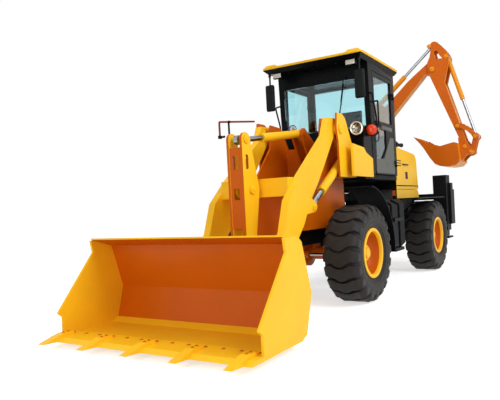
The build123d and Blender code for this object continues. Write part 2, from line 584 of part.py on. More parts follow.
# --- backhoe ----------------------------------------------------------------------
def hoe_frame():
    """Side-shift rails behind the chassis, with the stabilisers' square housings."""
    pieces = [box(-STAB_X, STAB_X, RAIL_Y - 120, RAIL_Y, z0, z1) for z0, z1 in ((600, 700), (1080, 1180))]
    plate = box(-300, 300, FRAME_Y1, RAIL_Y - 119, 640, 860)
    pieces.append(plate)
    pieces.append(box(-300, 300, RAIL_Y - 140, RAIL_Y - 119, 600, 1180))
    for side in (1, -1):
        outer = box(STAB_X - 110, STAB_X + 110, RAIL_Y - 260, RAIL_Y - 20, 560, 1480)
        hole = box(STAB_X - 90, STAB_X + 90, RAIL_Y - 240, RAIL_Y - 40, 540, 1460)
        tube = outer - hole
        flag = slab_x([(RAIL_Y - 120, 660), (RAIL_Y + 108, 660), (RAIL_Y + 108, 1240), (RAIL_Y + 20, 1240),
                       (RAIL_Y + 20, 1350), (RAIL_Y - 120, 1350)], STAB_X + 109, STAB_X + 150)
        housing = tube + flag
        pieces.append(housing if side > 0 else mirror(housing, about=Plane.YZ))
    whole = fuse(*pieces)
    for side in (1, -1):
        hole = box(side * STAB_X - 90, side * STAB_X + 90, RAIL_Y - 240, RAIL_Y - 40, 540, 1460)
        whole -= hole
    return whole


def stabiliser(side):
    x = side * STAB_X
    leg = box(x - 84, x + 84, RAIL_Y - 234, RAIL_Y - 46, 470, 1400)
    pad = box(x - 130, x + 130, RAIL_Y - 290, RAIL_Y + 10, 430, 460)
    stem = box(x - 40, x + 40, RAIL_Y - 180, RAIL_Y - 100, 455, 475)
    return fuse(leg, pad, stem)


def hoe_carriage():
    """The plate that slides along the rails and holds the swing post's two bearings."""
    plate = box(SWING_X - CARRIAGE_HALF, SWING_X + CARRIAGE_HALF, RAIL_Y + 6, RAIL_Y + 56, 590, 1190)
    hooks = [box(SWING_X - CARRIAGE_HALF, SWING_X + CARRIAGE_HALF, RAIL_Y - 60, RAIL_Y + 56, 1190, 1215),
             box(SWING_X - CARRIAGE_HALF, SWING_X + CARRIAGE_HALF, RAIL_Y - 60, RAIL_Y + 56, 565, 590)]
    lugs = []
    for z0, z1 in ((1090, 1160), (620, 690)):
        nose = slab_z([(SWING_X - 150, RAIL_Y + 50), (SWING_X + 150, RAIL_Y + 50),
                       (SWING_X + 85, HOE_Y), (SWING_X - 85, HOE_Y)], z0, z1)
        lugs += [nose, bar((SWING_X, HOE_Y, z0), (SWING_X, HOE_Y, z1), 85)]
    pin = bar((SWING_X, HOE_Y, 600), (SWING_X, HOE_Y, 1180), 45)
    return fuse(plate, *hooks, *lugs, pin)


def swing_post():
    """The casting between the bearings, forked towards the boom's foot."""
    core = box(SWING_X - 90, SWING_X + 90, HOE_Y - 110, HOE_Y + 110, 700, 1080)
    core -= bar((SWING_X, HOE_Y, 690), (SWING_X, HOE_Y, 1090), 45 + FIT)
    cheeks = []
    for y0, y1 in ((HOE_Y - 140, HOE_Y - 108), (HOE_Y + 108, HOE_Y + 140)):
        cheeks.append(hull_y([(*BOOM_FOOT, 85), (SWING_X, 990, 80), (SWING_X, 790, 80),
                              (*BOOM_RAM_BASE, 66)], y0, y1))
    foot_pin = pin_y(BOOM_FOOT, 42, HOE_Y - 150, HOE_Y + 150)
    ram_pin = pin_y(BOOM_RAM_BASE, 32, HOE_Y - 150, HOE_Y + 150)
    return fuse(core, *cheeks, foot_pin, ram_pin)


# (x, z) up the inner edge from the foot, round the head and back down the outer edge
BOOM_OUTLINE = [(-265, 985), (-245, 900), (-180, 862), (-112, 900), (-95, 990), (-190, 1420), (-330, 1850),
                (-390, 2180), (-370, 2430), (-225, 2628), (118, 2982), (452, 3322), (540, 3300),
                (600, 3290), (680, 3340), (690, 3400), (650, 3470), (590, 3500), (500, 3508),
                (245, 3328), (127, 3240), (-176, 2973), (-460, 2740), (-610, 2560), (-665, 2330),
                (-610, 2000), (-450, 1500)]
# (x, z) round the horn, down the outer edge to the bucket's pivot and back up the inner edge
DIPPER_CHEEK = [(588, 3722), (585, 3828), (615, 3855), (655, 3862), (710, 3835), (795, 3745), (868, 3640),
                (900, 3560), (890, 3440), (862, 3330), (805, 3120), (1040, 2345), (1130, 2060),
                (1168, 1985), (1160, 1930), (1108, 1905), (1060, 1930), (1010, 2130), (655, 3010),
                (548, 3269), (505, 3480), (520, 3520), (560, 3600)]


def boom():
    """A bent box boom, deepest at its elbow."""
    whole = slab_y(BOOM_OUTLINE, HOE_Y - 80, HOE_Y + 80)
    whole += pin_y(BOOM_FOOT, 70, HOE_Y - 108 + GAP, HOE_Y + 108 - GAP)
    whole -= pin_y(BOOM_FOOT, 42 + FIT, HOE_Y - 110, HOE_Y + 110)
    whole -= pin_y(DIPPER_PIVOT, 40 + FIT, HOE_Y - 90, HOE_Y + 90)
    for y0, y1 in ((HOE_Y - 75, HOE_Y - 52), (HOE_Y + 52, HOE_Y + 75)):
        whole += hull_y([(*BOOM_RAM_EYE, 48), (-330, 1640, 30), (-390, 1980, 30)], y0, y1)
        whole += hull_y([(*DIPPER_RAM_BASE, 50), (-590, 2560, 30), (-330, 2760, 30)], y0, y1)
    whole += pin_y(DIPPER_RAM_BASE, 30, HOE_Y - 80, HOE_Y + 80)
    return whole


def dipper():
    """A tapering stick between two cheek plates that rise to a horn with a window in it."""
    cheeks = [slab_y(DIPPER_CHEEK, HOE_Y - 125, HOE_Y - 89), slab_y(DIPPER_CHEEK, HOE_Y + 89, HOE_Y + 125)]
    window = slab_y([(635, 3690), (690, 3716), (735, 3605), (782, 3545), (664, 3548)],
                    HOE_Y - 130, HOE_Y + 130)
    stick = slab_y([(640, 3060), (798, 3095), (1020, 2400), (906, 2400)], HOE_Y - 90, HOE_Y + 90)
    tie = slab_y([(650, 3852), (706, 3826), (790, 3738), (780, 3730), (698, 3815), (644, 3840)],
                 HOE_Y - 90, HOE_Y + 90)
    pivot = pin_y(DIPPER_PIVOT, 40, HOE_Y - 140, HOE_Y + 140)
    eye_pin = pin_y(DIPPER_RAM_EYE, 28, HOE_Y + 31, HOE_Y + 135)
    eye_pin += mirror(eye_pin, about=Plane.XZ.offset(-HOE_Y))
    ram_pin = pin_y(BUCKET_RAM_BASE, 28, HOE_Y - 130, HOE_Y + 130)
    whole = fuse(*cheeks) - window
    whole = fuse(whole, stick, tie, pivot, *eye_pin.solids(), ram_pin)
    whole -= pin_y(HOE_BUCKET_PIVOT, 34 + FIT, HOE_Y - 140, HOE_Y + 140)
    return whole - pin_y(LEVER_PIVOT, 26 + FIT, HOE_Y - 140, HOE_Y + 140)


def tipping_lever():
    """Two banana-shaped levers, one outside each cheek of the dipper."""
    outline = [(965, 2362), (1000, 2380), (1114, 2352), (1212, 2272), (1328, 2155), (1334, 2110),
               (1300, 2078), (1256, 2095), (1222, 2162), (1143, 2243), (1059, 2288), (985, 2284), (955, 2318)]
    levers = [slab_y(outline, y0, y1)
              for y0, y1 in ((HOE_Y - 160, HOE_Y - 132), (HOE_Y + 132, HOE_Y + 160))]
    pin = pin_y(LEVER_PIVOT, 26, HOE_Y - 165, HOE_Y + 165)
    stubs = [pin_y(LEVER_END, 26, HOE_Y - 165, HOE_Y - 32), pin_y(LEVER_END, 26, HOE_Y + 32, HOE_Y + 165)]
    return fuse(*levers, pin, *stubs)


def tipping_link():
    """The link from the levers' ends down to the bucket's ears."""
    plates = [hull_y([(*LEVER_END, 46), (*HOE_LINK_PIN, 46)], y0, y1)
              for y0, y1 in ((HOE_Y - 58, HOE_Y - 34), (HOE_Y + 34, HOE_Y + 58))]
    upper, lower = (between(LEVER_END, HOE_LINK_PIN, share) for share in (0.45, 0.7))
    web = hull_y([(*upper, 20), (*lower, 20)], HOE_Y - 35, HOE_Y + 35)
    whole = fuse(*plates, web)
    for pivot in (LEVER_END, HOE_LINK_PIN):
        whole -= pin_y(pivot, 26 + FIT, HOE_Y - 60, HOE_Y + 60)
    return whole


def hoe_bucket():
    """A round-backed digging bucket with four teeth, hung between two ears."""
    half = HOE_BUCKET_W / 2
    # (x, z) from the cutting edge round the heel and up the back, outside and inside the sheet
    outside = [(320, 2140), (437, 1976), (537, 1808), (620, 1697), (705, 1656), (843, 1636),
               (975, 1650), (1045, 1712), (1018, 2025)]
    inside = [(1000, 2023), (1026, 1720), (968, 1669), (844, 1654), (710, 1673), (632, 1710),
              (553, 1818), (453, 1986), (336, 2150)]
    whole = slab_y(outside + inside, HOE_Y - half + 1, HOE_Y + half - 1)
    brim = [(960, 2045), (896, 2035), (722, 2000), (496, 2075), (374, 2158)]
    for y in (HOE_Y - half, HOE_Y + half - 18):
        whole += slab_y(outside + brim, y, y + 18)
    for n in range(4):
        y = HOE_Y - half + 20 + n * (HOE_BUCKET_W - 40 - 56) / 3
        whole += slab_y([(248, 2208), (345, 2165), (392, 2090), (420, 2020), (345, 2095)], y, y + 56)
    ear = [(1009, 2025), (1000, 2125), (1060, 2138), (1125, 2080), (1175, 2000), (1250, 1905),
           (1252, 1850), (1205, 1822), (1142, 1815), (1060, 1735), (1036, 1716)]
    for y0, y1, inner in ((HOE_Y - 156, HOE_Y - 131, HOE_Y - 66), (HOE_Y + 131, HOE_Y + 156, HOE_Y + 66)):
        whole += slab_y(ear, y0, y1)
        whole += pin_y(HOE_LINK_PIN, 40, *sorted((y0, inner)))
    return whole + pin_y(HOE_BUCKET_PIVOT, 34, HOE_Y - 164, HOE_Y + 164)


def hoe_ram(base, eye, r_barrel, r_rod, barrel_len, rod_start, base_pin):
    """Barrel and rod of a cylinder that lies in the backhoe's plane."""

    def at(distance):
        x, z = along(base, eye, distance)
        return (x, HOE_Y, z)

    barrel = bar(at(r_barrel - 14), at(barrel_len), r_barrel)
    barrel += pin_y(base, r_barrel + 4, HOE_Y - 35, HOE_Y + 35)
    barrel -= pin_y(base, base_pin + FIT, HOE_Y - r_barrel - 1, HOE_Y + r_barrel + 1)
    barrel -= bar(at(r_barrel + 45), at(barrel_len + 60), r_rod + FIT)
    run = math.hypot(eye[0] - base[0], eye[1] - base[1])
    rod = bar(at(rod_start), at(run), r_rod)
    rod += pin_y(eye, r_rod + 20, HOE_Y - 25, HOE_Y + 25)
    return barrel, rod


# --- the machine --------------------------------------------------------------------
def main():
    os.makedirs("parts", exist_ok=True)
    # (name, x, y)
    for name, side, y in (("front_left", 1, 0), ("front_right", -1, 0),
                          ("rear_left", 1, WHEELBASE), ("rear_right", -1, WHEELBASE)):
        save("tyre_" + name, tyre(side * WHEEL_X, y))
        save("rim_" + name, rim(side * WHEEL_X, y, side))
    save("main_frame", main_frame())
    save("loader_tower", loader_tower())
    save("front_axle", axle(0, True))
    save("rear_axle", axle(WHEELBASE, False))
    save("knuckle_left", knuckle(1))
    save("knuckle_right", knuckle(-1))
    save("steering_rod", steering_rod())
    save("driveline", driveline())
    save("engine_block", engine_block())
    save("cab_floor", cab_floor())
    save("cab_frame", cab_frame())
    save("cab_roof", cab_roof())
    save("cab_glass", *cab_glass())
    save("operator_seat", operator_seat())
    save("cab_controls", *cab_controls())
    save("side_panels", *side_panels())
    save("front_fenders", *front_fenders())
    save("steps", *steps())
    save("rear_body", rear_body())
    save("hood", hood())
    save("air_cleaner", air_cleaner())
    save("lamps", *lamps())
    save("mirrors", *mirrors())
    save("door_left", door(1))
    save("door_right", door(-1))
    save("loader_arms", loader_arms())
    save("bellcrank", bellcrank())
    save("bucket_link", bucket_link())
    save("loader_bucket", loader_bucket())
    save("level_rod", level_rod())
    barrel, rod = loader_ram(LIFT_BASE, LIFT_EYE, 450, 50, 30, 780, 112, 28)
    save("lift_barrels", *both(barrel))
    save("lift_rods", *both(rod))
    barrel, rod = loader_ram(ARM_PIVOT, CRANK_TOP, 0, 46, 28, 800, 430, 30)
    save("tilt_barrel", barrel)
    save("tilt_rod", rod)
    save("hoe_frame", hoe_frame())
    save("stabiliser_left", stabiliser(1))
    save("stabiliser_right", stabiliser(-1))
    save("hoe_carriage", hoe_carriage())
    save("swing_post", swing_post())
    save("boom", boom())
    save("dipper", dipper())
    save("tipping_lever", tipping_lever())
    save("tipping_link", tipping_link())
    save("hoe_bucket", hoe_bucket())
    # (name, base, eye, barrel radius, rod radius, barrel length, rod's inner end, base pin radius)
    for name, *sizes in (("boom_ram", BOOM_RAM_BASE, BOOM_RAM_EYE, 45, 28, 480, 440, 32),
                         ("dipper_ram", DIPPER_RAM_BASE, DIPPER_RAM_EYE, 45, 28, 705, 570, 30),
                         ("bucket_ram", BUCKET_RAM_BASE, LEVER_END, 40, 25, 795, 560, 28)):
        barrel, rod = hoe_ram(*sizes)
        save(name + "_barrel", barrel)
        save(name + "_rod", rod)


if __name__ == "__main__":
    main()
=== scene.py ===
import json
import math

import bmesh
import bpy
from mathutils import Matrix, Vector

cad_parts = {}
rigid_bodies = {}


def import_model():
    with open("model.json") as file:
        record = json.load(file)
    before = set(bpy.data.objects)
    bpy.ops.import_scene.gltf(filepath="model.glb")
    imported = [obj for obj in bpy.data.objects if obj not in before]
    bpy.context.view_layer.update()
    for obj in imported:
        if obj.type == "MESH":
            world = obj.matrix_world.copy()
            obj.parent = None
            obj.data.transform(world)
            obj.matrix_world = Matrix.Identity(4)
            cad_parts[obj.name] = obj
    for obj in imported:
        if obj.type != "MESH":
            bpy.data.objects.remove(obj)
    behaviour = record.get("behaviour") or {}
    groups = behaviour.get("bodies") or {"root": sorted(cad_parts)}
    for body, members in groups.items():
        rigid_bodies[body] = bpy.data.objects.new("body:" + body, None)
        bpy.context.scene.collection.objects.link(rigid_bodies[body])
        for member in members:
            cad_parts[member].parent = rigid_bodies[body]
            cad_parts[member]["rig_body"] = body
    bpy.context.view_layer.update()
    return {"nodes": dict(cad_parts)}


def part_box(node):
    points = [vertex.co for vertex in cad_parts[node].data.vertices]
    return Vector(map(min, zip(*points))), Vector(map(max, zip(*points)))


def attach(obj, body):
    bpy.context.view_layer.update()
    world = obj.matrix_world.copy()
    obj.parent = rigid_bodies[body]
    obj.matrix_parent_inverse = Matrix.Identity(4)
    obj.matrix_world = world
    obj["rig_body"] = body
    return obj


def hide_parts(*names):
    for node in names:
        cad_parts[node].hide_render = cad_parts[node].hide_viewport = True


bl_info = {
    "name": "Backhoe loader dressing",
    "version": (1, 0, 0),
    "blender": (4, 5, 0),
    "location": "View3D > Sidebar > Loader",
    "description": "Dresses the packed backhoe loader with its visible detail and finishes",
    "category": "Object",
}

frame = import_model()
NODES = frame["nodes"]

# --- the machine's own axes, worked out from its wheels ---
LEFT_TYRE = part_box("tyre_front_left")
RIGHT_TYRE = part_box("tyre_front_right")
REAR_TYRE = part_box("tyre_rear_left")
MID_X = (LEFT_TYRE[1].x + RIGHT_TYRE[0].x) / 2
FRONT_Y = (LEFT_TYRE[0].y + LEFT_TYRE[1].y) / 2
WHEELBASE = (REAR_TYRE[0].y + REAR_TYRE[1].y) / 2 - FRONT_Y
WHEEL_X = (LEFT_TYRE[0].x + LEFT_TYRE[1].x) / 2 - MID_X
TYRE_R = (LEFT_TYRE[1].z - LEFT_TYRE[0].z) / 2
TYRE_W = LEFT_TYRE[1].x - LEFT_TYRE[0].x
HUB_Z = (LEFT_TYRE[1].z + LEFT_TYRE[0].z) / 2
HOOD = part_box("hood")
HOOD_X, HOOD_FRONT, HOOD_REAR = HOOD[1].x - MID_X, HOOD[0].y - FRONT_Y, HOOD[1].y - FRONT_Y
CAB_X = 0.650  # outer face of the cab's side
PANE_X = 0.629  # inner face of the door panes
DOOR_FRONT, DOOR_BACK = 0.828, 1.532
DOORS = ((1, "door_left"), (-1, "door_right"))
ARM_X = 0.450  # middle plane of each lift arm
HOE_Y = 3.980  # plane in which the parked backhoe lies


def at(x, y, z):
    """A point in machine axes: front axle's middle on the ground, in the part's own frame."""
    return Vector((x + MID_X, y + FRONT_Y, z))


# --- what a user may change ---
def linear(code):
    """An sRGB hex colour as linear red, green and blue."""
    parts = [int(code[n:n + 2], 16) / 255 for n in (1, 3, 5)]
    return tuple(p / 12.92 if p <= 0.04045 else ((p + 0.055) / 1.055) ** 2.4 for p in parts)


def colour(name, text, code):
    """A colour that a user may change."""
    return bpy.props.FloatVectorProperty(name=name, description=text, subtype="COLOR", size=3,
                                         min=0.0, max=1.0, default=linear(code))


def length(name, text, value):
    """A length that a user may change."""
    return bpy.props.FloatProperty(name=name, description=text, unit="LENGTH", subtype="DISTANCE",
                                   min=0.0, default=value)


class LoaderPaint(bpy.types.PropertyGroup):
    """Colours of the loader's paints and mouldings."""
    yellow: colour("Yellow", "Machine paint of the loader end, cab panels and hood", "#fdc41e")
    # painted shade: this orange is not a paint of its own. It is a darker, redder copy of the yellow that
    # stands in for shade on faces that look forwards, within the bucket, in the rims' dishes and on the front
    # frame under the loader
    orange: colour("Orange", "Deeper coat on the front frame and on faces that look forwards", "#ca5e00")
    amber: colour("Amber", "Coat on the backhoe's edges and ram barrels", "#e6920f")
    black: colour("Black", "Chassis, mudguards and stabiliser paint", "#0d0e10")
    cab: colour("Cab black", "Gloss black of the cab's posts and header", "#080a0b")
    rubber: colour("Rubber", "Moulded tyre rubber", "#232120")
    glass: colour("Glass", "Tint of the cab's panes", "#d2f2f6")
    door: colour("Door grey", "Textured grey panel at the doors' rear corner", "#555751")


class LoaderSizes(bpy.types.PropertyGroup):
    """Sizes of the loader's added detail."""
    weld_edge: length("Edge radius", "Rounding of cut and welded plate edges", 0.004)
    lug_edge: length("Lug rounding", "Rounding along the tyre lugs", 0.006)
    pin_head: length("Pin head", "Radius of the washers on the pivot pins", 0.044)


# --- materials ---
PEEL = 165.0  # waves in a metre: a ripple every 6 mm
FADING = 2.3  # a patch every 0.4 m
DUST = 28.0  # a speck every 36 mm
FILM = 3.0  # a smear every 0.3 m
RELIEF = 0.001  # height of a grain, in metres


def set_up(node, **settings):
    """Gives a node's own sockets or properties their values."""
    for key, value in settings.items():
        socket = key.replace("_", " ")
        if socket in node.inputs.keys():
            node.inputs[socket].default_value = value
        else:
            setattr(node, key, value)


def add_node(tree, kind, links=(), **settings):
    """Adds one node; settings go to its sockets or properties, links to its inputs."""
    node = tree.nodes.new(kind)
    set_up(node, **settings)
    for source, target in links:
        tree.links.new(source, node.inputs[target])
    return node


def new_material(name):
    """A named material, its node tree, its shader and the object coordinates that its patterns follow."""
    material = bpy.data.materials.new(name)
    material.use_nodes = True
    tree = material.node_tree
    return material, tree, tree.nodes["Principled BSDF"], add_node(tree, "ShaderNodeTexCoord").outputs["Object"]


def coated(tree, shader, tone, share, where, grain, strength):
    """Colours a shader between a tone and a share of it, and gives it a grain's relief."""
    mixed = add_node(tree, "ShaderNodeMix", [(where, 0)], data_type="RGBA")
    mixed.inputs[6].default_value = (*tone, 1)
    mixed.inputs[7].default_value = (*(min(c * share, 1) for c in tone), 1)
    bump = add_node(tree, "ShaderNodeBump", [(grain, "Height")], Strength=strength, Distance=RELIEF)
    tree.links.new(mixed.outputs[2], shader.inputs["Base Color"])
    tree.links.new(bump.outputs["Normal"], shader.inputs["Normal"])


def enamel(name, tone, worn=0.90, rough=0.36, dust=0.18, coat=0.05, gloss=0.18):
    """Enamel sprayed on steel: orange peel breaks its highlights up, sun fades it in broad patches to a share
    of its tone, and dust dulls its gloss in spots. The peel's ripples are 6 mm, twice the real size, so that
    they show."""
    material, tree, shader, where = new_material(name)
    peel = add_node(tree, "ShaderNodeTexNoise", [(where, "Vector")], Scale=PEEL, Detail=2.0)
    broad = add_node(tree, "ShaderNodeTexNoise", [(where, "Vector")], Scale=FADING, Detail=5.0, Roughness=0.6)
    fade = add_node(tree, "ShaderNodeMapRange", [(broad.outputs["Fac"], "Value")], From_Min=0.35,
                    From_Max=0.75)
    coated(tree, shader, tone, worn, fade.outputs["Result"], peel.outputs["Fac"], 0.06)
    speck = add_node(tree, "ShaderNodeTexNoise", [(where, "Vector")], Scale=DUST, Detail=6.0, Roughness=0.7)
    shine = add_node(tree, "ShaderNodeMapRange", [(speck.outputs["Fac"], "Value")], From_Min=0.3,
                     From_Max=0.8, To_Min=rough - 0.05, To_Max=rough + dust)
    tree.links.new(shine.outputs["Result"], shader.inputs["Roughness"])
    set_up(shader, Specular_IOR_Level=gloss, Coat_Weight=coat, Coat_Roughness=0.12)
    return material


def moulded(name, tone, rough, grain, strength=0.2, other=1.25, metallic=0.0, gloss=0.5):
    """A moulded, cast or drawn surface: its grain, in waves to a metre, roughens the highlights, and patches
    twelve grains wide make the colour slightly uneven."""
    material, tree, shader, where = new_material(name)
    noise = add_node(tree, "ShaderNodeTexNoise", [(where, "Vector")], Scale=grain, Detail=4.0)
    patch = add_node(tree, "ShaderNodeTexNoise", [(where, "Vector")], Scale=grain / 12, Detail=3.0)
    coated(tree, shader, tone, other, patch.outputs["Fac"], noise.outputs["Fac"], strength)
    set_up(shader, Roughness=rough, Metallic=metallic, Specular_IOR_Level=gloss)
    return material


def tinted_glass(name, tone):
    """Toughened safety glass: a pale blue-green tint cools what is behind it, and a faint film of dust blurs
    it in places."""
    material, tree, shader, where = new_material(name)
    film = add_node(tree, "ShaderNodeTexNoise", [(where, "Vector")], Scale=FILM, Detail=6.0)
    haze = add_node(tree, "ShaderNodeMapRange", [(film.outputs["Fac"], "Value")], To_Min=0.01, To_Max=0.05)
    tree.links.new(haze.outputs["Result"], shader.inputs["Roughness"])
    set_up(shader, Base_Color=(*tone, 1), Transmission_Weight=1.0, IOR=1.45, Specular_IOR_Level=0.25)
    return material


def paint():
    """The paints as the user has set them."""
    return bpy.context.scene.loader_paint


# names of the finishes that several pieces have
# the orange enamel is painted shade: a shaded copy of the yellow enamel
YELLOW, SHADE_ORANGE, AMBER = "machine_yellow_enamel", "machine_orange_painted_shade", "machine_amber_enamel"
BLACK, CAB_BLACK, BLACK_ABS = "chassis_black_enamel", "cab_black_enamel", "grained_black_abs"
CHROME, GLASS = "hard_chrome", "tinted_safety_glass"
# finish: (material slot of the part's record, how it is made). A grain finer than 3 mm is drawn at 3 mm or
# more, so that it shows.
FINISHES = {
    # sprayed enamel: a warm coat with soft, slightly rippled highlights
    YELLOW: ("yellow_enamel", lambda n: enamel(n, paint().yellow)),
    # painted shade: the orange enamel stands in for the shade on faces turned away from the light
    SHADE_ORANGE: ("orange_enamel", lambda n: enamel(n, paint().orange)),
    AMBER: ("orange_enamel", lambda n: enamel(n, paint().amber)),
    "rocker_red_enamel": ("red_enamel", lambda n: enamel(n, linear("#8a1420"))),
    # chassis enamel: satin black that dust turns greyer, with hardly a highlight
    BLACK: ("black_enamel",
            lambda n: enamel(n, paint().black, 1.5, 0.42, coat=0.0, gloss=0.06)),
    # cab enamel: a deeper and smoother black, with narrow highlights along the posts
    CAB_BLACK: ("black_enamel", lambda n: enamel(n, paint().cab, 1.5, 0.28, 0.10, 0.0, 0.07)),
    # rubber from a steel mould: a warm, almost matt dark grey
    "moulded_tyre_rubber": ("tyre_rubber",
                            lambda n: moulded(n, paint().rubber, 0.54, 140.0, 0.35, 1.5, gloss=0.16)),
    # ground and chromed steel: a bright line along each ram's rod
    CHROME: ("chromed_rod",
             lambda n: moulded(n, linear("#9aa0a6"), 0.16, 220.0, 0.02, 1.0, metallic=1.0)),
    # zinc plate: a paler and duller metal than chrome
    "zinc_plate": ("chromed_rod", lambda n: moulded(n, linear("#d8d2be"), 0.30, 160.0, 0.1, 1.0, metallic=1.0)),
    GLASS: ("tinted_glass", lambda n: tinted_glass(n, paint().glass)),
    # ABS from a textured mould: an even, soft sheen
    "grained_grey_abs": ("grey_plastic",
                         lambda n: moulded(n, paint().door, 0.50, 320.0, 0.25, 1.15, gloss=0.3)),
    BLACK_ABS: ("grey_plastic",
                lambda n: moulded(n, linear("#0b0d0e"), 0.42, 320.0, 0.25, 1.4, gloss=0.12)),
    # pressed vinyl: leather-like grain that breaks the seat's highlights up
    "grained_seat_vinyl": ("seat_vinyl", lambda n: moulded(n, linear("#15171a"), 0.45, 350.0, 0.35, gloss=0.3)),
    # painted sand casting: coarse and dull
    "painted_cast_iron": ("cast_iron", lambda n: moulded(n, linear("#232527"), 0.55, 120.0, 0.5, gloss=0.25)),
    # moulded lenses: glossy, with a ribbed look from their broad grain
    "clear_lamp_lens": ("lamp_lens", lambda n: moulded(n, linear("#cfc8b8"), 0.12, 90.0, 0.3, 0.9)),
    "indicator_red_lens": ("lamp_lens",
                           lambda n: moulded(n, linear("#e03a0a"), 0.18, 60.0, 0.3, 0.8, gloss=0.3)),
}


def finish(name):
    """The named finish, made when it is first asked for."""
    return bpy.data.materials.get(name) or FINISHES[name][1](name)


# --- piece building ---
WELD = 2e-4  # corners of a CAD mesh that are nearer than this are one
SHARP = 35  # degrees past which two faces meet in a sharp line
ROUNDED = 40  # degrees past which the edge between them is rounded
SKIN = 0.006  # grain of a pad's mesh before it is stuffed
STUFFING = 4.0  # pressure that swells it
SETTLING = 20  # frames it is given
SWELL = 0.008  # furthest that a point of it may move


def middle(face):
    """A face's middle in machine axes."""
    return face.calc_center_median() - at(0, 0, 0)


def finished(name, bm, coat, body, replaces=(), sharp=SHARP, bevel=0.0, second=None):
    """Turns a bmesh into a piece that rides on a body; its faces may use a second coat as slot 1."""
    mesh = bpy.data.meshes.new(name)
    bmesh.ops.recalc_face_normals(bm, faces=bm.faces)
    bm.to_mesh(mesh)
    bm.free()
    mesh.shade_smooth()
    mesh.set_sharp_from_angle(angle=math.radians(sharp))
    piece = bpy.data.objects.new(name, mesh)
    bpy.context.scene.collection.objects.link(piece)
    mesh.materials.append(finish(coat))
    if second:
        mesh.materials.append(finish(second))
    if bevel:
        soft = piece.modifiers.new("edge", "BEVEL")
        soft.width = bevel
        soft.segments = 2
        soft.limit_method = "ANGLE"
        soft.angle_limit = math.radians(ROUNDED)
        soft.harden_normals = True
    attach(piece, body)
    if replaces:
        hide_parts(*replaces)
    return piece


def aimed(bm, verts, origin, axis):
    """Turns shapes made along Z to lie along an axis from an origin given in machine axes."""
    turn = Vector(axis).to_track_quat("Z", "Y").to_matrix().to_4x4()
    bmesh.ops.transform(bm, matrix=Matrix.Translation(at(*origin)) @ turn, verts=verts)


def joined(bm, part):
    """Adds a part made in a bmesh of its own."""
    mesh = bpy.data.meshes.new("part")
    part.to_mesh(mesh)
    part.free()
    bm.from_mesh(mesh)
    bpy.data.meshes.remove(mesh)


def turned(bm, profile, origin, axis=(1, 0, 0), steps=48):
    """Spins a profile of (along, radius) points about an axis through a point in machine axes."""
    part = bmesh.new()
    row = [part.verts.new((radius, 0, along)) for along, radius in profile]
    edges = [part.edges.new(pair) for pair in zip(row, row[1:])]
    bmesh.ops.spin(part, geom=row + edges, cent=(0, 0, 0), axis=(0, 0, 1), angle=math.tau, steps=steps,
                   use_merge=True)
    bmesh.ops.remove_doubles(part, verts=part.verts, dist=1e-5)
    aimed(part, part.verts, origin, axis)
    joined(bm, part)


def block(bm, low, high, edge=0.0, segments=2):
    """A box between two corners in machine axes, with rounded edges."""
    made = bmesh.ops.create_cube(bm, size=1.0)["verts"]
    low, high = at(*low), at(*high)
    size = high - low
    bmesh.ops.transform(bm, matrix=Matrix.Translation((low + high) / 2) @ Matrix.Diagonal((*size, 1)),
                        verts=made)
    if edge:
        edges = {e for v in made for e in v.link_edges}
        bmesh.ops.bevel(bm, geom=list(edges), offset=edge, segments=segments, profile=0.5, affect="EDGES",
                        material=-1)


def rod(bm, start, stop, radius, steps=24):
    """A round bar between two points in machine axes."""
    run = Vector(stop) - Vector(start)
    made = bmesh.ops.create_cone(bm, cap_ends=True, segments=steps, radius1=radius, radius2=radius,
                                 depth=run.length)["verts"]
    bmesh.ops.translate(bm, vec=(0, 0, run.length / 2), verts=made)
    aimed(bm, made, start, run)


def thickened(bm, faces, move):
    """Makes a plate of flat faces by pulling them along a move."""
    grown = bmesh.ops.extrude_face_region(bm, geom=faces)["geom"]
    bmesh.ops.translate(bm, vec=move, verts=[g for g in grown if isinstance(g, bmesh.types.BMVert)])


def sheet_of(bm, outline, direction, thickness):
    """A flat plate from an outline of points in machine axes, thickened along a direction."""
    face = bm.faces.new([bm.verts.new(at(*p)) for p in outline])
    thickened(bm, [face], Vector(direction) * thickness)


def span(side, inner, outer):
    """Two places across the machine on one side of it, the lower first."""
    return sorted((side * inner, side * outer))


def tube(bm, points, radius):
    """A bent round tube with smooth corners through points in machine axes."""
    curve = bpy.data.curves.new("tube", "CURVE")
    curve.dimensions = "3D"
    curve.bevel_depth = radius
    curve.bevel_resolution = 4
    curve.use_fill_caps = True
    spline = curve.splines.new("NURBS")
    spline.points.add(len(points) - 1)
    for knot, place in zip(spline.points, points):
        knot.co = (*at(*place), 1)
    spline.order_u = 3
    spline.use_endpoint_u = True
    holder = bpy.data.objects.new("tube", curve)
    mesh = bpy.data.meshes.new_from_object(holder)
    bm.from_mesh(mesh)
    bpy.data.objects.remove(holder)
    bpy.data.curves.remove(curve)
    bpy.data.meshes.remove(mesh)


def settle(pad):
    """Makes a pad's modifiers part of its mesh."""
    pad.data = bpy.data.meshes.new_from_object(pad.evaluated_get(bpy.context.evaluated_depsgraph_get()))
    pad.modifiers.clear()


def stuffed(pad):
    scene = bpy.context.scene
    pad.modifiers.new("skin", "REMESH").voxel_size = SKIN
    settle(pad)
    rest = [v.co.copy() for v in pad.data.vertices]
    cloth = pad.modifiers.new("stuffing", "CLOTH")
    cloth.settings.use_pressure = True
    cloth.settings.uniform_pressure_force = STUFFING
    cloth.settings.effector_weights.gravity = 0.0
    for step in range(1, SETTLING + 1):
        scene.frame_set(step)
    settle(pad)
    scene.frame_set(1)
    for v, start in zip(pad.data.vertices, rest):
        move = v.co - start
        if move.length > SWELL:
            v.co = start + move * (SWELL / move.length)
    pad.data.shade_smooth()


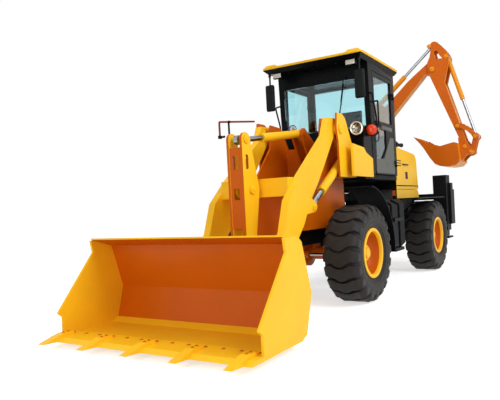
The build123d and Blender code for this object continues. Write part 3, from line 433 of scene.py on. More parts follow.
def softened(node, coat, width, second=None, place=None):
    """A copy of a CAD node with rounded edges takes its place; faces in a named place get a second coat, which
    on most nodes is painted shade.
    """
    source = NODES[node]
    bm = bmesh.new()
    bm.from_mesh(source.data)
    bmesh.ops.remove_doubles(bm, verts=bm.verts, dist=WELD)
    bmesh.ops.dissolve_limit(bm, angle_limit=math.radians(1.0), verts=bm.verts, edges=bm.edges)
    if second:
        for face in bm.faces:
            face.material_index = int(PLACES[place](face.normal, middle(face)))
    return finished(node + "_skin", bm, coat, source["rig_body"], (node,), bevel=width, second=second)


# where a second coat goes, from a face's normal and its middle in machine axes; the second coat of faces in
# shade is painted shade
PLACES = {
    # painted shade: faces that look forwards get the orange second coat as their shade; on the hood the same
    # rule gives them black
    "forward": lambda n, p: n.y < -0.45,
    # painted shade: the bucket's inner faces that look forwards get the orange second coat as the shade within
    # the bucket
    "bucket_shade": lambda n, p: abs(p.x) < 1.03 and n.y < -0.2 and 0.12 < p.z < 0.87,
    # painted shade: side-panel faces behind the cab that do not face outwards get black, standing in for the
    # shade within the engine bay
    "engine_bay_shade": lambda n, p: p.y > 1.5 and n.x * p.x < 0.2,
    # painted shade: the tower's forward faces, its middle between the arms and its inward faces get the orange
    # second coat as their shade
    "frame": lambda n, p: n.y < -0.45 or abs(p.x) < 0.40 or n.x * p.x < -0.2,
    "behind": lambda n, p: p.y > 0.62,
}
# (coat, second coat, where that goes, edge radius as a share of the set one, nodes); orange coats in it are
# painted shade
PAINTED = (
    (YELLOW, SHADE_ORANGE, "forward", 1.0, ("bellcrank", "bucket_link")),
    (YELLOW, SHADE_ORANGE, "frame", 1.0, ("loader_tower",)),
    (YELLOW, SHADE_ORANGE, "bucket_shade", 1.0, ("loader_bucket",)),
    (YELLOW, None, None, 1.0, ("loader_arms",)),
    (YELLOW, BLACK, "engine_bay_shade", 1.0, ("side_panels",)),
    (YELLOW, BLACK, "forward", 1.5, ("hood",)),
    (YELLOW, None, None, 1.5, ("cab_roof",)),
    # painted shade: the front frame, the front axle and the knuckles sit in shade under the loader and get the
    # orange all over
    (SHADE_ORANGE, BLACK, "behind", 1.0, ("main_frame",)),
    (SHADE_ORANGE, None, None, 1.0, ("front_axle", "knuckle_left", "knuckle_right")),
    (AMBER, SHADE_ORANGE, "forward", 1.0,
     ("boom", "dipper", "hoe_bucket", "tipping_lever", "tipping_link", "swing_post")),
    (CAB_BLACK, None, None, 0.8, ("cab_frame",)),
    (BLACK, None, None, 0.8,
     ("rear_axle", "cab_floor", "front_fenders", "steps", "rear_body", "hoe_frame", "stabiliser_left",
      "stabiliser_right", "hoe_carriage")),
    (BLACK_ABS, None, None, 0.8, ("door_left", "door_right")),
)
# (coat, nodes whose CAD surface is kept)
KEPT = (
    (YELLOW, ("lift_barrels", "tilt_barrel")),
    (AMBER, ("boom_ram_barrel", "dipper_ram_barrel", "bucket_ram_barrel")),
    (CHROME, ("lift_rods", "tilt_rod", "boom_ram_rod", "dipper_ram_rod", "bucket_ram_rod", "steering_rod")),
    (GLASS, ("cab_glass",)),
    ("painted_cast_iron", ("driveline", "engine_block")),
    (BLACK, ("cab_controls",)),
)


class LOADER_OT_paintwork(bpy.types.Operator):
    """Paint on the steelwork, with rounded edges where plate is cut and welded."""
    bl_idname = "loader.paintwork"
    bl_label = "Paintwork"

    def execute(self, context):
        edge = context.scene.loader_sizes.weld_edge
        for coat, second, place, share, names in PAINTED:
            for name in names:
                softened(name, coat, edge * share, second, place)
        for coat, names in KEPT:
            for name in names:
                coats = NODES[name].data.materials
                coats.clear()
                coats.append(finish(coat))
        return {"FINISHED"}


# --- wheels ---
# (name, side, along the machine)
WHEELS = (("front_left", 1, 0.0), ("front_right", -1, 0.0),
          ("rear_left", 1, WHEELBASE), ("rear_right", -1, WHEELBASE))
LUGS = 20
LUG_HALF = 0.065  # half a lug's width along the tread
LUG_WAVE = 0.023  # how far its ends and middle swing round the tread
TREAD_FLAT = 0.135  # half the width over which the tread is flat, short of the shoulders
TREAD_DEPTH = 0.038
STUDS, STUD_CIRCLE = 8, 0.122
HUB_BOLTS, HUB_BOLT_CIRCLE = 3, 0.073


def wave(across):
    """How far round the tread a lug's middle lies at a place across it: three half waves."""
    return -LUG_WAVE * math.cos(across / (TYRE_W / 2) * 1.5 * math.pi)


class LOADER_OT_tyres(bpy.types.Operator):
    """Tyres with wide wavy lugs right across the tread and a rim guard on the wall."""
    bl_idname = "loader.tyres"
    bl_label = "Tyres"

    def execute(self, context):
        half, root = TYRE_W / 2, TYRE_R - TREAD_DEPTH
        bm = self.lugs(half, root, context.scene.loader_sizes.lug_edge)
        wall = [(0.150, 0.256), (0.166, 0.277), (0.176, 0.292), (0.189, 0.322), (0.192, 0.329), (0.198, 0.334),
                (0.196, 0.342), (0.202, 0.375), (0.2045, 0.382), (0.208, 0.386), (0.2045, 0.392),
                (half - 0.004, 0.410), (0.203, 0.440), (0.192, 0.466), (0.168, 0.486), (0.100, root)]
        wall = [(min(along, half - 0.001), radius) for along, radius in wall]
        turned(bm, [(-a, r) for a, r in wall] + [(a, r) for a, r in reversed(wall)], (0, 0, 0), steps=120)
        tyre = bpy.data.meshes.new("tyre")
        bm.to_mesh(tyre)
        bm.free()
        for name, side, y in WHEELS:
            bm = bmesh.new()
            bm.from_mesh(tyre)
            bmesh.ops.transform(bm, matrix=Matrix.Translation((side * WHEEL_X, y, HUB_Z)), verts=bm.verts)
            finished("tyre_" + name + "_rubber", bm, "moulded_tyre_rubber", "wheel_" + name,
                     ("tyre_" + name,))
        bpy.data.meshes.remove(tyre)
        return {"FINISHED"}

    def lugs(self, half, root, edge):
        """The ring of lugs, from one that is cut, bent to the tread's wave, rounded and repeated."""
        bm = bmesh.new()
        bmesh.ops.create_cube(bm, size=1.0)
        along = [e for e in bm.edges if abs((e.verts[0].co - e.verts[1].co).x) > 0.5]
        bmesh.ops.subdivide_edges(bm, edges=along, cuts=13, use_grid_fill=True)
        for v in bm.verts:
            across = v.co.x * (TYRE_W - 0.004)
            shoulder = max(0.0, abs(across) - TREAD_FLAT) / (half - TREAD_FLAT)
            # the crown falls a little to the shoulder and steeply over it, and the foot is wider than the top
            top = TYRE_R - 0.002 - 0.004 * abs(across) / half - 0.050 * shoulder ** 1.8
            foot = min(top - 0.012, root - 0.02 - 0.070 * shoulder ** 1.4)
            lean = LUG_HALF * (1.0 if v.co.z > 0 else 1.12) * (1 - 0.24 * shoulder)
            turn = (wave(across) + math.copysign(lean, v.co.y)) / TYRE_R
            reach = top if v.co.z > 0 else foot
            v.co = (across, reach * math.sin(turn), reach * math.cos(turn))
        hard = [e for e in bm.edges if e.calc_face_angle(0) > 0.6]
        bmesh.ops.bevel(bm, geom=hard, offset=edge, segments=2, profile=0.5, affect="EDGES", material=-1)
        bmesh.ops.spin(bm, geom=bm.verts[:] + bm.edges[:] + bm.faces[:], cent=(0, 0, 0), axis=(1, 0, 0),
                       angle=math.tau * (LUGS - 1) / LUGS, steps=LUGS - 1, use_duplicate=True)
        bmesh.ops.translate(bm, vec=at(0, 0, 0), verts=bm.verts)
        return bm


class LOADER_OT_rims(bpy.types.Operator):
    """Spun steel rims with a hub, its studs and a yellow flange round an orange dish; the orange of the dish
    and the back is painted shade.
    """
    bl_idname = "loader.rims"
    bl_label = "Rims"

    def execute(self, context):
        back = [(0.004, 0), (0.004, 0.150), (-0.020, 0.232), (-0.185, 0.236)]
        flange = [(-0.185, 0.270), (-0.180, 0.276), (-0.172, 0.276), (-0.169, 0.270), (-0.169, 0.254),
                  (0.169, 0.254), (0.169, 0.270), (0.172, 0.276), (0.180, 0.276), (0.185, 0.270),
                  (0.185, 0.242), (0.178, 0.237), (0.150, 0.232)]
        dish = [(0.110, 0.224), (0.062, 0.208), (0.046, 0.196), (0.034, 0.160), (0.031, 0.148), (0.030, 0.094),
                (0.088, 0.090), (0.095, 0.084), (0.095, 0.062), (0.112, 0.060), (0.118, 0.052), (0.118, 0)]
        stud = [(0, 0.014), (0.020, 0.014), (0.023, 0.011), (0.023, 0.008), (0.034, 0.0075), (0.035, 0)]
        bolt = [(0, 0.008), (0.006, 0.008), (0.007, 0.006), (0.007, 0)]
        for name, side, y in WHEELS:
            origin = (side * WHEEL_X, y, HUB_Z)
            bm = bmesh.new()
            turned(bm, back + flange + dish, origin, (side, 0, 0), 96)
            for face in bm.faces:
                off = face.calc_center_median() - at(*origin)
                outward, radius = off.x * side, math.hypot(off.y, off.z)
                # the second coat goes on the dish and the back, as painted shade in the recess and behind the
                # flange
                face.material_index = int(0.10 < radius < 0.234 and outward > 0.0 or outward < 0.005)
            for profile, count, circle, out, share in ((stud, STUDS, STUD_CIRCLE, 0.028, 0.5),
                                                       (bolt, HUB_BOLTS, HUB_BOLT_CIRCLE, 0.094, 0.0)):
                for n in range(count):
                    turn = math.tau * (n + share) / count
                    place = (origin[0] + side * out, y + circle * math.cos(turn),
                             HUB_Z + circle * math.sin(turn))
                    turned(bm, profile, place, (side, 0, 0), 6)
            finished("rim_" + name + "_steel", bm, YELLOW, "wheel_" + name, ("rim_" + name,),
                     sharp=30, second=SHADE_ORANGE)
        return {"FINISHED"}


# --- cab ---
class LOADER_OT_panes(bpy.types.Operator):
    """Upper and lower glass of each door."""
    bl_idname = "loader.panes"
    bl_label = "Door panes"

    def execute(self, context):
        front, back = DOOR_FRONT + 0.046, DOOR_BACK - 0.046
        upper = [(front, 2.126), (back, 2.126), (back, 2.696), (front, 2.696)]
        lower = [(front, 2.074), (front, 1.636), (DOOR_FRONT + 0.252, 1.636), (DOOR_FRONT + 0.424, 1.798),
                 (DOOR_FRONT + 0.424, 2.074)]
        for side, body in DOORS:
            bm = bmesh.new()
            for outline in (upper, lower):
                sheet_of(bm, [(side * PANE_X, y, z) for y, z in outline], (side, 0, 0), 0.006)
            finished(body + "_panes", bm, GLASS, body)
        return {"FINISHED"}


class LOADER_OT_door_trim(bpy.types.Operator):
    """Grey corner panel, belt rail, latch, pull handle and sill strips on each door."""
    bl_idname = "loader.door_trim"
    bl_label = "Door trim"

    def execute(self, context):
        corner = [(DOOR_FRONT + 0.030, 1.462), (DOOR_BACK - 0.012, 1.462), (DOOR_BACK - 0.012, 1.948),
                  (DOOR_BACK - 0.150, 1.948), (1.130, 1.652), (DOOR_FRONT + 0.030, 1.640)]
        for side, body in DOORS:
            bm = bmesh.new()
            # from front to back, from bottom to top, how far it stands proud, rounding
            for y0, y1, z0, z1, proud, edge in (
                    (DOOR_FRONT + 0.030, DOOR_BACK - 0.020, 2.084, 2.116, 0.010, 0.004),  # belt rail
                    (DOOR_FRONT + 0.050, DOOR_FRONT + 0.150, 2.040, 2.070, 0.010, 0.006),  # latch
                    (DOOR_FRONT + 0.034, DOOR_FRONT + 0.420, 1.606, 1.614, 0.002, 0.001),  # sill strips
                    (DOOR_FRONT + 0.034, DOOR_BACK - 0.030, 1.532, 1.540, 0.002, 0.001)):
                x0, x1 = span(side, CAB_X - 0.002, CAB_X + proud)
                block(bm, (x0, y0, z0), (x1, y1, z1), edge, 1)
            turned(bm, [(0, 0), (0, 0.024), (0.004, 0.027), (0.006, 0.024), (0.002, 0.018), (0.002, 0)],
                   (side * (CAB_X - 0.001), 1.229, 1.574), (side, 0, 0), 32)
            tube(bm, [(side * (CAB_X + off), DOOR_FRONT + 0.070, z) for off, z in (
                (-0.004, 2.000), (0.030, 1.995), (0.032, 1.930), (0.030, 1.865), (-0.004, 1.860))], 0.007)
            finished(body + "_trim", bm, CAB_BLACK, body)
            skin = bmesh.new()
            sheet_of(skin, [(side * (CAB_X - 0.001), y, z) for y, z in corner], (side, 0, 0), 0.005)
            x0, x1 = span(side, CAB_X - 0.001, CAB_X + 0.006)
            block(skin, (x0, 1.075, 2.030), (x1, DOOR_BACK - 0.060, 2.106), 0.008)
            finished(body + "_panel", skin, "grained_grey_abs", body, bevel=0.003)
        return {"FINISHED"}


class LOADER_OT_grab_rails(bpy.types.Operator):
    """Bent tube rails beside the doors."""
    bl_idname = "loader.grab_rails"
    bl_label = "Grab rails"

    def execute(self, context):
        bm = bmesh.new()
        for side in (1, -1):
            foot, out = side * (CAB_X - 0.020), side * (CAB_X + 0.052)
            tube(bm, [(foot, 0.690, 2.440), (out, 0.690, 2.440), (out, 0.690, 2.400), (out, 0.740, 2.280),
                      (out, 0.790, 2.160), (out, 0.790, 1.960), (out, 0.790, 1.930), (foot, 0.790, 1.930)],
                 0.011)
        finished("grab_rails", bm, CAB_BLACK, "root")
        return {"FINISHED"}


class LOADER_OT_wiper(bpy.types.Operator):
    """Windscreen wiper hung from the header."""
    bl_idname = "loader.wiper"
    bl_label = "Wiper"

    def execute(self, context):
        bm = bmesh.new()
        rod(bm, (0.335, 0.700, 2.675), (0.335, 0.664, 2.675), 0.018)
        rod(bm, (0.335, 0.668, 2.675), (0.262, 0.706, 2.380), 0.006)
        block(bm, (0.252, 0.722, 2.350), (0.272, 0.728, 2.360))
        blade = [(0.318, 0.700, 2.600), (0.326, 0.700, 2.600), (0.206, 0.744, 2.130), (0.196, 0.744, 2.130)]
        sheet_of(bm, blade, (0, -1, 0), 0.014)
        finished("wiper", bm, CAB_BLACK, "root")
        return {"FINISHED"}


class LOADER_OT_lamps(bpy.types.Operator):
    """Headlights and indicators on the cowl, and work lamps under the roof's front edge."""
    bl_idname = "loader.lamps"
    bl_label = "Lamps"

    def execute(self, context):
        shells, lenses, rings, reds = (bmesh.new() for _ in range(4))
        for side in (1, -1):
            eye = (side * 0.590, 0.396, 1.982)
            turned(shells, [(0.085, 0), (0.085, 0.060), (0.060, 0.076), (0.018, 0.080), (0.010, 0.074),
                            (0.014, 0.060), (0.044, 0.050), (0.044, 0)], eye, (0, 1, 0))
            turned(rings, [(0.002, 0.066), (-0.002, 0.072), (0.000, 0.080), (0.008, 0.083), (0.020, 0.082),
                           (0.020, 0.064), (0.008, 0.062), (0.002, 0.066)], eye, (0, 1, 0))
            turned(rings, [(0.040, 0), (0.040, 0.016), (0.034, 0.040), (0.018, 0.062), (0.020, 0.064),
                           (0.044, 0.044), (0.046, 0)], eye, (0, 1, 0))
            turned(lenses, [(0.010, 0), (0.012, 0.016), (0.020, 0.018), (0.032, 0.014), (0.040, 0.014)], eye,
                   (0, 1, 0), 24)
            for n in range(6):
                turn = math.tau * n / 6
                tip = Vector(eye) + Vector((0.058 * math.cos(turn), 0.014, 0.058 * math.sin(turn)))
                rod(shells, Vector(eye) + Vector((0, 0.016, 0)), tip, 0.004, 8)
            aim = (-side * 0.25, 1, 0)
            turned(reds, [(0, 0), (0, 0.028), (0.008, 0.052), (0.022, 0.064), (0.034, 0.066),
                          (0.034, 0)], (side * 0.706, 0.585, 1.974), aim)
            turned(shells, [(0, 0.068), (0.014, 0.072), (0.060, 0.066), (0.120, 0.030), (0.120, 0),
                            (0, 0)], (side * 0.698, 0.617, 1.974), aim)
            left, right = span(side, 0.455, 0.590)
            block(shells, (left, 0.470, 2.760), (right, 0.520, 2.829), 0.010)
            block(lenses, (left + 0.008, 0.464, 2.768), (right - 0.008, 0.472, 2.822), 0.003)
        finished("lamp_shells", shells, CAB_BLACK, "root", ("lamps",))
        finished("lamp_rings", rings, "zinc_plate", "root")
        finished("lamp_lenses", lenses, "clear_lamp_lens", "root")
        finished("indicator_lenses", reds, "indicator_red_lens", "root")
        return {"FINISHED"}


class LOADER_OT_mirrors(bpy.types.Operator):
    """Mirrors in moulded shells on tube arms, and a small round one over the cowl."""
    bl_idname = "loader.mirrors"
    bl_label = "Mirrors"

    def execute(self, context):
        shells, faces = bmesh.new(), bmesh.new()
        for side in (1, -1):
            x = side * 0.637
            block(shells, (x - 0.064, 0.440, 2.345), (x + 0.064, 0.492, 2.690), 0.024, 5)
            block(faces, (x - 0.054, 0.490, 2.362), (x + 0.054, 0.495, 2.672), 0.002)
            rod(shells, (x, 0.474, 2.640), (x, 0.474, 2.829), 0.011)
            turned(shells, [(0, 0), (0, 0.018), (0.030, 0.018), (0.034, 0.012), (0.034, 0)],
                   (x, 0.474, 2.795), (0, 0, 1), 24)
        eye, aim = (-0.205, 0.270, 2.050), (0.2, -1, 0)
        turned(shells, [(-0.006, 0), (-0.006, 0.040), (-0.004, 0.046), (0.004, 0.049), (0.010, 0.046),
                        (0.010, 0.042), (0.004, 0.040), (0.004, 0)], eye, aim, 40)
        turned(faces, [(0.003, 0), (0.006, 0.020), (0.005, 0.041), (0.003, 0)], eye, aim, 40)
        tube(shells, [(-0.205, 0.280, 2.006), (-0.205, 0.285, 1.980), (-0.200, 0.288, 1.960),
                      (-0.120, 0.288, 1.900), (-0.110, 0.290, 1.860), (-0.110, 0.304, 1.740)], 0.008)
        finished("mirror_shells", shells, BLACK_ABS, "root", ("mirrors",))
        finished("mirror_faces", faces, CHROME, "root")
        return {"FINISHED"}


class LOADER_OT_seat(bpy.types.Operator):
    """Suspension seat with a crowned cushion and back."""
    bl_idname = "loader.seat"
    bl_label = "Seat"

    def execute(self, context):
        base = bmesh.new()
        block(base, (-0.170, 1.120, 1.442), (0.170, 1.460, 1.798), 0.012)
        for n in range(5):
            z = 1.520 + n * 0.050
            block(base, (-0.176, 1.114, z), (0.176, 1.466, z + 0.024), 0.010)
        finished("seat_suspension", base, BLACK, "root", ("operator_seat",))
        for name, low, high in (("seat_cushion", (-0.236, 1.082, 1.802), (0.236, 1.478, 1.896)),
                                ("seat_back", (-0.216, 1.470, 1.890), (0.216, 1.545, 2.396))):
            bm = bmesh.new()
            block(bm, low, high)
            bmesh.ops.subdivide_edges(bm, edges=bm.edges, cuts=9, use_grid_fill=True)
            foot, size = at(*low), at(*high) - at(*low)
            centre = (at(*low) + at(*high)) / 2
            lying = size.z < size.y
            # the sides draw in, two grooves run along it, and its face falls away to the rim
            for v in bm.verts:
                off = v.co - centre
                share = [abs(off[n]) / (size[n] / 2) for n in range(3)]
                pull = 1 - 0.045 * share[0] ** 4 - 0.030 * share[1] ** 4 * share[0] ** 2
                v.co = centre + Vector((off.x * pull, off.y * (1 - 0.10 * share[0] ** 6), off.z))
                groove = math.exp(-((abs(off.x) - size.x * 0.30) / 0.007) ** 2) * 0.006
                if lying:
                    v.co.z -= math.copysign(groove + 0.014 * max(share[0], share[1]) ** 4, off.z) * (off.z > 0)
                else:
                    v.co.y += (groove + 0.012 * max(share[0], share[2]) ** 4) * (off.y < 0)
                    v.co.y += (v.co.z - foot.z) / size.z * 0.010
            stuffed(finished(name, bm, "grained_seat_vinyl", "root"))
        return {"FINISHED"}


class LOADER_OT_treads(bpy.types.Operator):
    """Raised grip buttons on the step treads."""
    bl_idname = "loader.treads"
    bl_label = "Step treads"

    def execute(self, context):
        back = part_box("steps")[0].y - FRONT_Y
        bm = bmesh.new()
        for side in (1, -1):
            for top in (0.510, 0.880):
                for row in range(3):
                    for column in range(8):
                        place = (side * (0.766 + row * 0.044), back + 0.024 + column * 0.038, top - 0.001)
                        turned(bm, [(0, 0.011), (0.004, 0.008), (0.004, 0.004), (0.001, 0)], place,
                               (0, 0, 1), 8)
        finished("step_grips", bm, BLACK, "root")
        return {"FINISHED"}


# --- hood ---
LOUVRE_PITCH = 0.036
REAR_LEAN = 0.1277  # how far the hood's rear face leans forwards for each metre up
CLEANER = (0.470, 1.926)  # place across and height of the air cleaner's axis


class LOADER_OT_hood(bpy.types.Operator):
    """Louvres, seams, latches, pull handles and the air cleaner on the engine hood."""
    bl_idname = "loader.hood"
    bl_label = "Hood detail"

    def execute(self, context):
        bm = bmesh.new()
        for side in (1, -1):
            x0, x1 = span(side, HOOD_X - 0.002, HOOD_X + 0.002)
            for n in range(3):
                z = 1.590 + n * LOUVRE_PITCH
                block(bm, (x0, HOOD_FRONT + 0.030, z), (x1, HOOD_FRONT + 0.230, z + 0.014), 0.001)
            block(bm, (x0, 2.110, 1.410), (x1, 2.215, 1.515), 0.002)
            block(bm, (x0, HOOD_FRONT + 0.010, 1.300), (x1, HOOD_REAR - 0.010, 1.316), 0.001)
            tube(bm, [(side * (HOOD_X + off), y, 1.620) for off, y in (
                (-0.004, 1.990), (0.014, 1.990), (0.016, 2.020), (0.016, 2.190), (0.014, 2.220),
                (-0.004, 2.220))], 0.008)
        for n in range(9):
            z = 1.350 + n * LOUVRE_PITCH
            face = HOOD_REAR - (z - 1.254) * REAR_LEAN
            block(bm, (-0.380, face - 0.016, z), (0.380, face + 0.003, z + 0.012), 0.001)
        finished("hood_vents", bm, CAB_BLACK, "hood")
        can = bmesh.new()
        x, z = CLEANER
        shell = [(0, 0), (0, 0.050), (0.006, 0.058), (0.020, 0.060), (0.024, 0.054), (0.030, 0.054)]
        for n in range(6):
            rib = 0.050 + n * 0.032
            shell += [(rib, 0.056), (rib + 0.008, 0.059), (rib + 0.016, 0.056)]
        shell += [(0.270, 0.056), (0.276, 0.061), (0.292, 0.061), (0.298, 0.054), (0.320, 0.050), (0.320, 0)]
        turned(can, shell, (x, 1.740, z), (0, 1, 0), 48)
        outlet = [(0, 0), (0, 0.040), (0.010, 0.050), (0.034, 0.050), (0.044, 0.038), (0.050, 0.025),
                  (0.230, 0.025), (0.232, 0.031), (0.250, 0.031), (0.252, 0)]
        turned(can, outlet, (x, 2.058, z), (0.10, 1, 0.02), 32)
        for y in (1.785, 1.985):
            block(can, (x - 0.030, y, 1.846), (x + 0.030, y + 0.040, 1.885), 0.004)
            turned(can, [(0, 0.0600), (0, 0.0618), (0.030, 0.0618), (0.030, 0.0600)], (x, y + 0.005, z),
                   (0, 1, 0), 48)
        finished("air_cleaner_can", can, BLACK, "hood", ("air_cleaner",))
        return {"FINISHED"}


# --- pivots ---
# pins across the machine: (body, middle, distances of its heads from there, share of their radius)
ACROSS = [(body, (side * ARM_X, y, z), [side * reach for reach in reaches], share)
          for body, y, z, reaches, share in (
              ("lift_arms", -1.600, 0.290, (-0.072, 0.072), 1.0),
              ("root", 0.050, 1.945, (0.108,), 1.2),
              ("root", 0.350, 1.665, (0.104,), 0.9),
              ("lift_arms", -0.550, 1.080, (0.050,), 0.9))
          for side in (1, -1)]
ACROSS += [
    ("lift_arms", (0.0, -1.090, 1.280), (-0.112, 0.112), 1.0),
    ("bellcrank", (0.0, -1.150, 1.770), (-0.105, 0.105), 0.9),
    ("bellcrank", (0.0, -1.150, 0.640), (-0.098, 0.098), 0.8)]
# pins along the machine, through the parked backhoe: (body, place across and up, distance, share)
ALONG = (
    ("swing_post", -0.180, 0.950, 0.148, 1.0), ("dipper", 0.600, 3.380, 0.138, 1.0),
    ("dipper", 0.560, 3.790, 0.133, 0.8), ("dipper", 0.850, 3.565, 0.128, 0.8),
    ("tipping_lever", 1.000, 2.330, 0.163, 0.7), ("tipping_lever", 1.285, 2.125, 0.163, 0.7),
    ("hoe_bucket", 1.108, 1.967, 0.162, 0.8), ("hoe_bucket", 1.212, 1.868, 0.158, 0.7))
HEADS = [(body, place, (1, 0, 0), reaches, share) for body, place, reaches, share in ACROSS]
HEADS += [(body, (x, HOE_Y, z), (0, 1, 0), (-reach, reach), share) for body, x, z, reach, share in ALONG]


class LOADER_OT_blade_bolts(bpy.types.Operator):
    """Plough bolts along the cutting edge and through the teeth's shanks."""
    bl_idname = "loader.blade_bolts"
    bl_label = "Blade bolts"

    def execute(self, context):
        edge = [(-0.990 + n * 0.165, -2.350, 0.090) for n in range(13)]
        shanks = [(-0.960 + n * 0.480, y, 0.118) for n in range(5) for y in (-2.430, -2.475)]
        bm = bmesh.new()
        for foot, radius, top, crown, places in ((-0.004, 0.015, 0.003, 0.011, edge),
                                                 (-0.006, 0.012, 0.004, 0.009, shanks)):
            for place in places:
                turned(bm, [(foot, 0), (foot, radius), (top, radius), (0.006, crown), (0.006, 0)], place,
                       (0, 0, 1), 12)
        # painted shade: the bolt heads take the darker orange shade tone rather than the bucket's yellow
        finished("blade_bolts", bm, SHADE_ORANGE, "loader_bucket")
        return {"FINISHED"}


class LOADER_OT_rocker_web(bpy.types.Operator):
    """Web with two windows that closes the rocker's front between its cheeks."""
    bl_idname = "loader.rocker_web"
    bl_label = "Rocker web"

    def execute(self, context):
        columns = (-0.067, -0.034, 0.034, 0.067)
        rows = (1.070, 1.180, 1.290, 1.480, 1.610, 1.690)
        bm = bmesh.new()
        bmesh.ops.create_grid(bm, x_segments=3, y_segments=5, size=1.0)
        for v in bm.verts:
            column, row = round((v.co.x + 1) * 1.5), round((v.co.y + 1) * 2.5)
            v.co = at(columns[column], -1.214, rows[row])
        windows = [face for face in bm.faces if abs(middle(face).x) < 0.02
                   and (1.18 < middle(face).z < 1.29 or 1.48 < middle(face).z < 1.61)]
        bmesh.ops.delete(bm, geom=windows, context="FACES")
        bmesh.ops.recalc_face_normals(bm, faces=bm.faces)
        thickened(bm, bm.faces[:], (0, 0.010, 0))
        # painted shade: the web faces forwards and takes the darker orange that stands in for its shade
        finished("rocker_web", bm, SHADE_ORANGE, "bellcrank", bevel=0.002)
        return {"FINISHED"}


class LOADER_OT_level_rod(bpy.types.Operator):
    """Red rod on two uprights that shows the driver how the bucket lies."""
    bl_idname = "loader.level_rod"
    bl_label = "Level rod"

    def execute(self, context):
        bm, posts = bmesh.new(), bmesh.new()
        x = -0.150
        tube(bm, [(x, y, z) for y, z in ((-1.240, 1.800), (-1.240, 1.930), (-1.240, 1.956), (-1.214, 1.959),
                                         (-1.190, 1.962), (-0.640, 2.030))], 0.010)
        finished("level_rod_bar", bm, "rocker_red_enamel", "bellcrank", ("level_rod",))
        rod(posts, (x, -1.090, 1.790), (x, -1.090, 1.972), 0.010, 16)
        for y in (-1.240, -1.090):
            rod(posts, (-0.092, y, 1.806), (x - 0.016, y, 1.806), 0.011, 16)
            block(posts, (x - 0.014, y - 0.016, 1.790), (x + 0.014, y + 0.016, 1.822), 0.004)
        block(posts, (x - 0.014, -1.104, 1.962), (x + 0.014, -1.076, 1.986), 0.004)
        finished("level_rod_posts", posts, BLACK, "bellcrank")
        return {"FINISHED"}


class LOADER_OT_pins(bpy.types.Operator):
    """Washers, keeper bolts and grease nipples on the pivot pins."""
    bl_idname = "loader.pins"
    bl_label = "Pivot pins"

    def execute(self, context):
        head = context.scene.loader_sizes.pin_head
        meshes = {body: bmesh.new() for body in dict.fromkeys(row[0] for row in HEADS)}
        for body, place, axis, reaches, share in HEADS:
            bm, radius = meshes[body], head * share
            washer = [(0, 0), (0, radius), (0.008, radius), (0.010, radius - 0.002),
                      (0.010, radius * 0.55), (0.016, radius * 0.5), (0.016, radius * 0.14),
                      (0.022, radius * 0.14), (0.026, radius * 0.08), (0.026, 0)]
            for reach in reaches:
                out = Vector(axis) * math.copysign(1, reach)
                foot = Vector(place) + Vector(axis) * (reach - math.copysign(0.004, reach))
                turned(bm, washer, foot, out, 32)
                sideways = out.cross(Vector((0, 0, 1))) * radius * 0.78
                turned(bm, [(0.008, 0.009), (0.014, 0.009), (0.015, 0.007), (0.015, 0)], foot + sideways,
                       out, 6)
        hoe = {row[0] for row in ALONG}
        for body, bm in meshes.items():
            finished("pin_heads_" + body, bm, AMBER if body in hoe else YELLOW, body)
        return {"FINISHED"}


# --- stage ---
FLOOR_SHADE = (0.86, 0.90)  # darkest and lightest of its pale grey
FLOOR_LIFT = 0.62  # light added to it where it is seen, so that it reads as white paper
FILL = 0.52  # the world's light on the machine
# (name, place, aim, size, power)
LAMPS = (
    ("key", (6.5, -1.5, 6.0), (0, 0.8, 1.2), 4.0, 340),
    ("top", (0.5, 1.0, 8.0), (0, 1.0, 0), 5.0, 160),
    ("front", (1.0, -8.0, 3.0), (0, 0, 1.2), 3.0, 120))
EYE = (3.072, -5.300, 1.105)
TURNS = (28.811, 0.882, -2.861)  # azimuth, downward tilt and roll, in degrees
LENS, SHIFT = 37.383, (-0.1242, 0.0244)


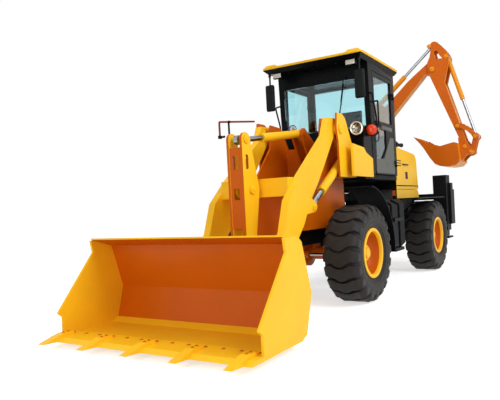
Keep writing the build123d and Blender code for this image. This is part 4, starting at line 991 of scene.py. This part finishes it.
class LOADER_OT_stage(bpy.types.Operator):
    """Pale floor, soft lamps and the camera."""
    bl_idname = "loader.stage"
    bl_label = "Stage"

    def execute(self, context):
        scene = context.scene
        scene.view_settings.view_transform = "Standard"
        self.floor(scene)
        self.sky(scene)
        self.lamps(scene)
        self.camera(scene)
        return {"FINISHED"}

    def floor(self, scene):
        """A matt paper floor that keeps the machine's shadow."""
        bm = bmesh.new()
        bmesh.ops.create_circle(bm, cap_ends=True, radius=60.0, segments=64)
        mesh = bpy.data.meshes.new("floor")
        bm.to_mesh(mesh)
        bm.free()
        floor = bpy.data.objects.new("floor", mesh)
        scene.collection.objects.link(floor)
        material, tree, shader, where = new_material("pale_studio_floor")
        noise = add_node(tree, "ShaderNodeTexNoise", [(where, "Vector")], Scale=1.5, Detail=3.0)
        shade = add_node(tree, "ShaderNodeMapRange", [(noise.outputs["Fac"], "Value")],
                         To_Min=FLOOR_SHADE[0], To_Max=FLOOR_SHADE[1])
        tree.links.new(shade.outputs["Result"], shader.inputs["Base Color"])
        set_up(shader, Roughness=0.9, Specular_IOR_Level=0.0)
        lift = add_node(tree, "ShaderNodeMath", [(self.shown(tree), 0)], operation="MULTIPLY")
        lift.inputs[1].default_value = FLOOR_LIFT
        glow = add_node(tree, "ShaderNodeEmission", [(lift.outputs[0], "Strength")])
        both = add_node(tree, "ShaderNodeAddShader", [(shader.outputs[0], 0), (glow.outputs[0], 1)])
        tree.links.new(both.outputs[0], tree.nodes["Material Output"].inputs["Surface"])
        mesh.materials.append(material)

    def shown(self, tree):
        """1 for what the camera sees directly, in a reflection or through glass."""
        path = add_node(tree, "ShaderNodeLightPath")
        seen = path.outputs["Is Camera Ray"]
        for ray in ("Is Transmission Ray", "Is Glossy Ray"):
            seen = add_node(tree, "ShaderNodeMath", [(seen, 0), (path.outputs[ray], 1)],
                            operation="MAXIMUM").outputs[0]
        return seen

    def sky(self, scene):
        """White where it is seen, and an even, softer light on the machine."""
        world = bpy.data.worlds.new("studio")
        scene.world = world
        world.use_nodes = True
        tree = world.node_tree
        fill = tree.nodes["Background"]
        set_up(fill, Color=(1, 1, 1, 1), Strength=FILL)
        white = add_node(tree, "ShaderNodeBackground", Color=(1, 1, 1, 1), Strength=1.0)
        mix = add_node(tree, "ShaderNodeMixShader",
                       [(self.shown(tree), 0), (fill.outputs[0], 1), (white.outputs[0], 2)])
        tree.links.new(mix.outputs[0], tree.nodes["World Output"].inputs["Surface"])

    def lamps(self, scene):
        """Soft square lamps, each aimed at a place on the machine."""
        for name, place, aim, size, power in LAMPS:
            light = bpy.data.lights.new(name, "AREA")
            light.size = size
            light.energy = power
            lamp = bpy.data.objects.new(name, light)
            lamp.location = at(*place)
            lamp.rotation_euler = (at(*aim) - at(*place)).to_track_quat("-Z", "Y").to_euler()
            scene.collection.objects.link(lamp)

    def camera(self, scene):
        """A camera low at the front left, rolled a little."""
        camera = bpy.data.objects.new("camera", bpy.data.cameras.new("camera"))
        azimuth, down, roll = (math.radians(angle) for angle in TURNS)
        look = Vector((-math.sin(azimuth) * math.cos(down), math.cos(azimuth) * math.cos(down),
                       -math.sin(down)))
        across = Vector((math.cos(azimuth), math.sin(azimuth), 0))
        rise = across.cross(look)
        right = across * math.cos(roll) + rise * math.sin(roll)
        up = rise * math.cos(roll) - across * math.sin(roll)
        turn = Matrix((right, up, -look)).transposed().to_4x4()
        turn.translation = at(*EYE)
        camera.matrix_world = turn
        camera.data.lens = LENS
        camera.data.shift_x, camera.data.shift_y = SHIFT
        scene.collection.objects.link(camera)
        scene.camera = camera


STEPS = (LOADER_OT_stage, LOADER_OT_paintwork, LOADER_OT_tyres, LOADER_OT_rims, LOADER_OT_panes,
         LOADER_OT_door_trim, LOADER_OT_grab_rails, LOADER_OT_wiper, LOADER_OT_lamps, LOADER_OT_mirrors,
         LOADER_OT_seat, LOADER_OT_treads, LOADER_OT_hood, LOADER_OT_blade_bolts, LOADER_OT_rocker_web,
         LOADER_OT_level_rod, LOADER_OT_pins)


class LOADER_PT_panel(bpy.types.Panel):
    """The dressing steps and their settings."""
    bl_idname = "LOADER_PT_panel"
    bl_label = "Backhoe loader"
    bl_space_type = "VIEW_3D"
    bl_region_type = "UI"
    bl_category = "Loader"

    def draw(self, context):
        for group in (context.scene.loader_paint, context.scene.loader_sizes):
            for key in group.__annotations__:
                self.layout.prop(group, key)
        for step in STEPS:
            self.layout.operator(step.bl_idname)


CLASSES = (LoaderPaint, LoaderSizes, *STEPS, LOADER_PT_panel)


def register():
    for cls in CLASSES:
        bpy.utils.register_class(cls)
    bpy.types.Scene.loader_paint = bpy.props.PointerProperty(type=LoaderPaint)
    bpy.types.Scene.loader_sizes = bpy.props.PointerProperty(type=LoaderSizes)


def unregister():
    del bpy.types.Scene.loader_sizes
    del bpy.types.Scene.loader_paint
    for cls in reversed(CLASSES):
        bpy.utils.unregister_class(cls)


def main():
    """Registers the add-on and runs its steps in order."""
    register()
    for step in STEPS:
        group, name = step.bl_idname.split(".")
        getattr(getattr(bpy.ops, group), name)()


if __name__ == "__main__":
    main()
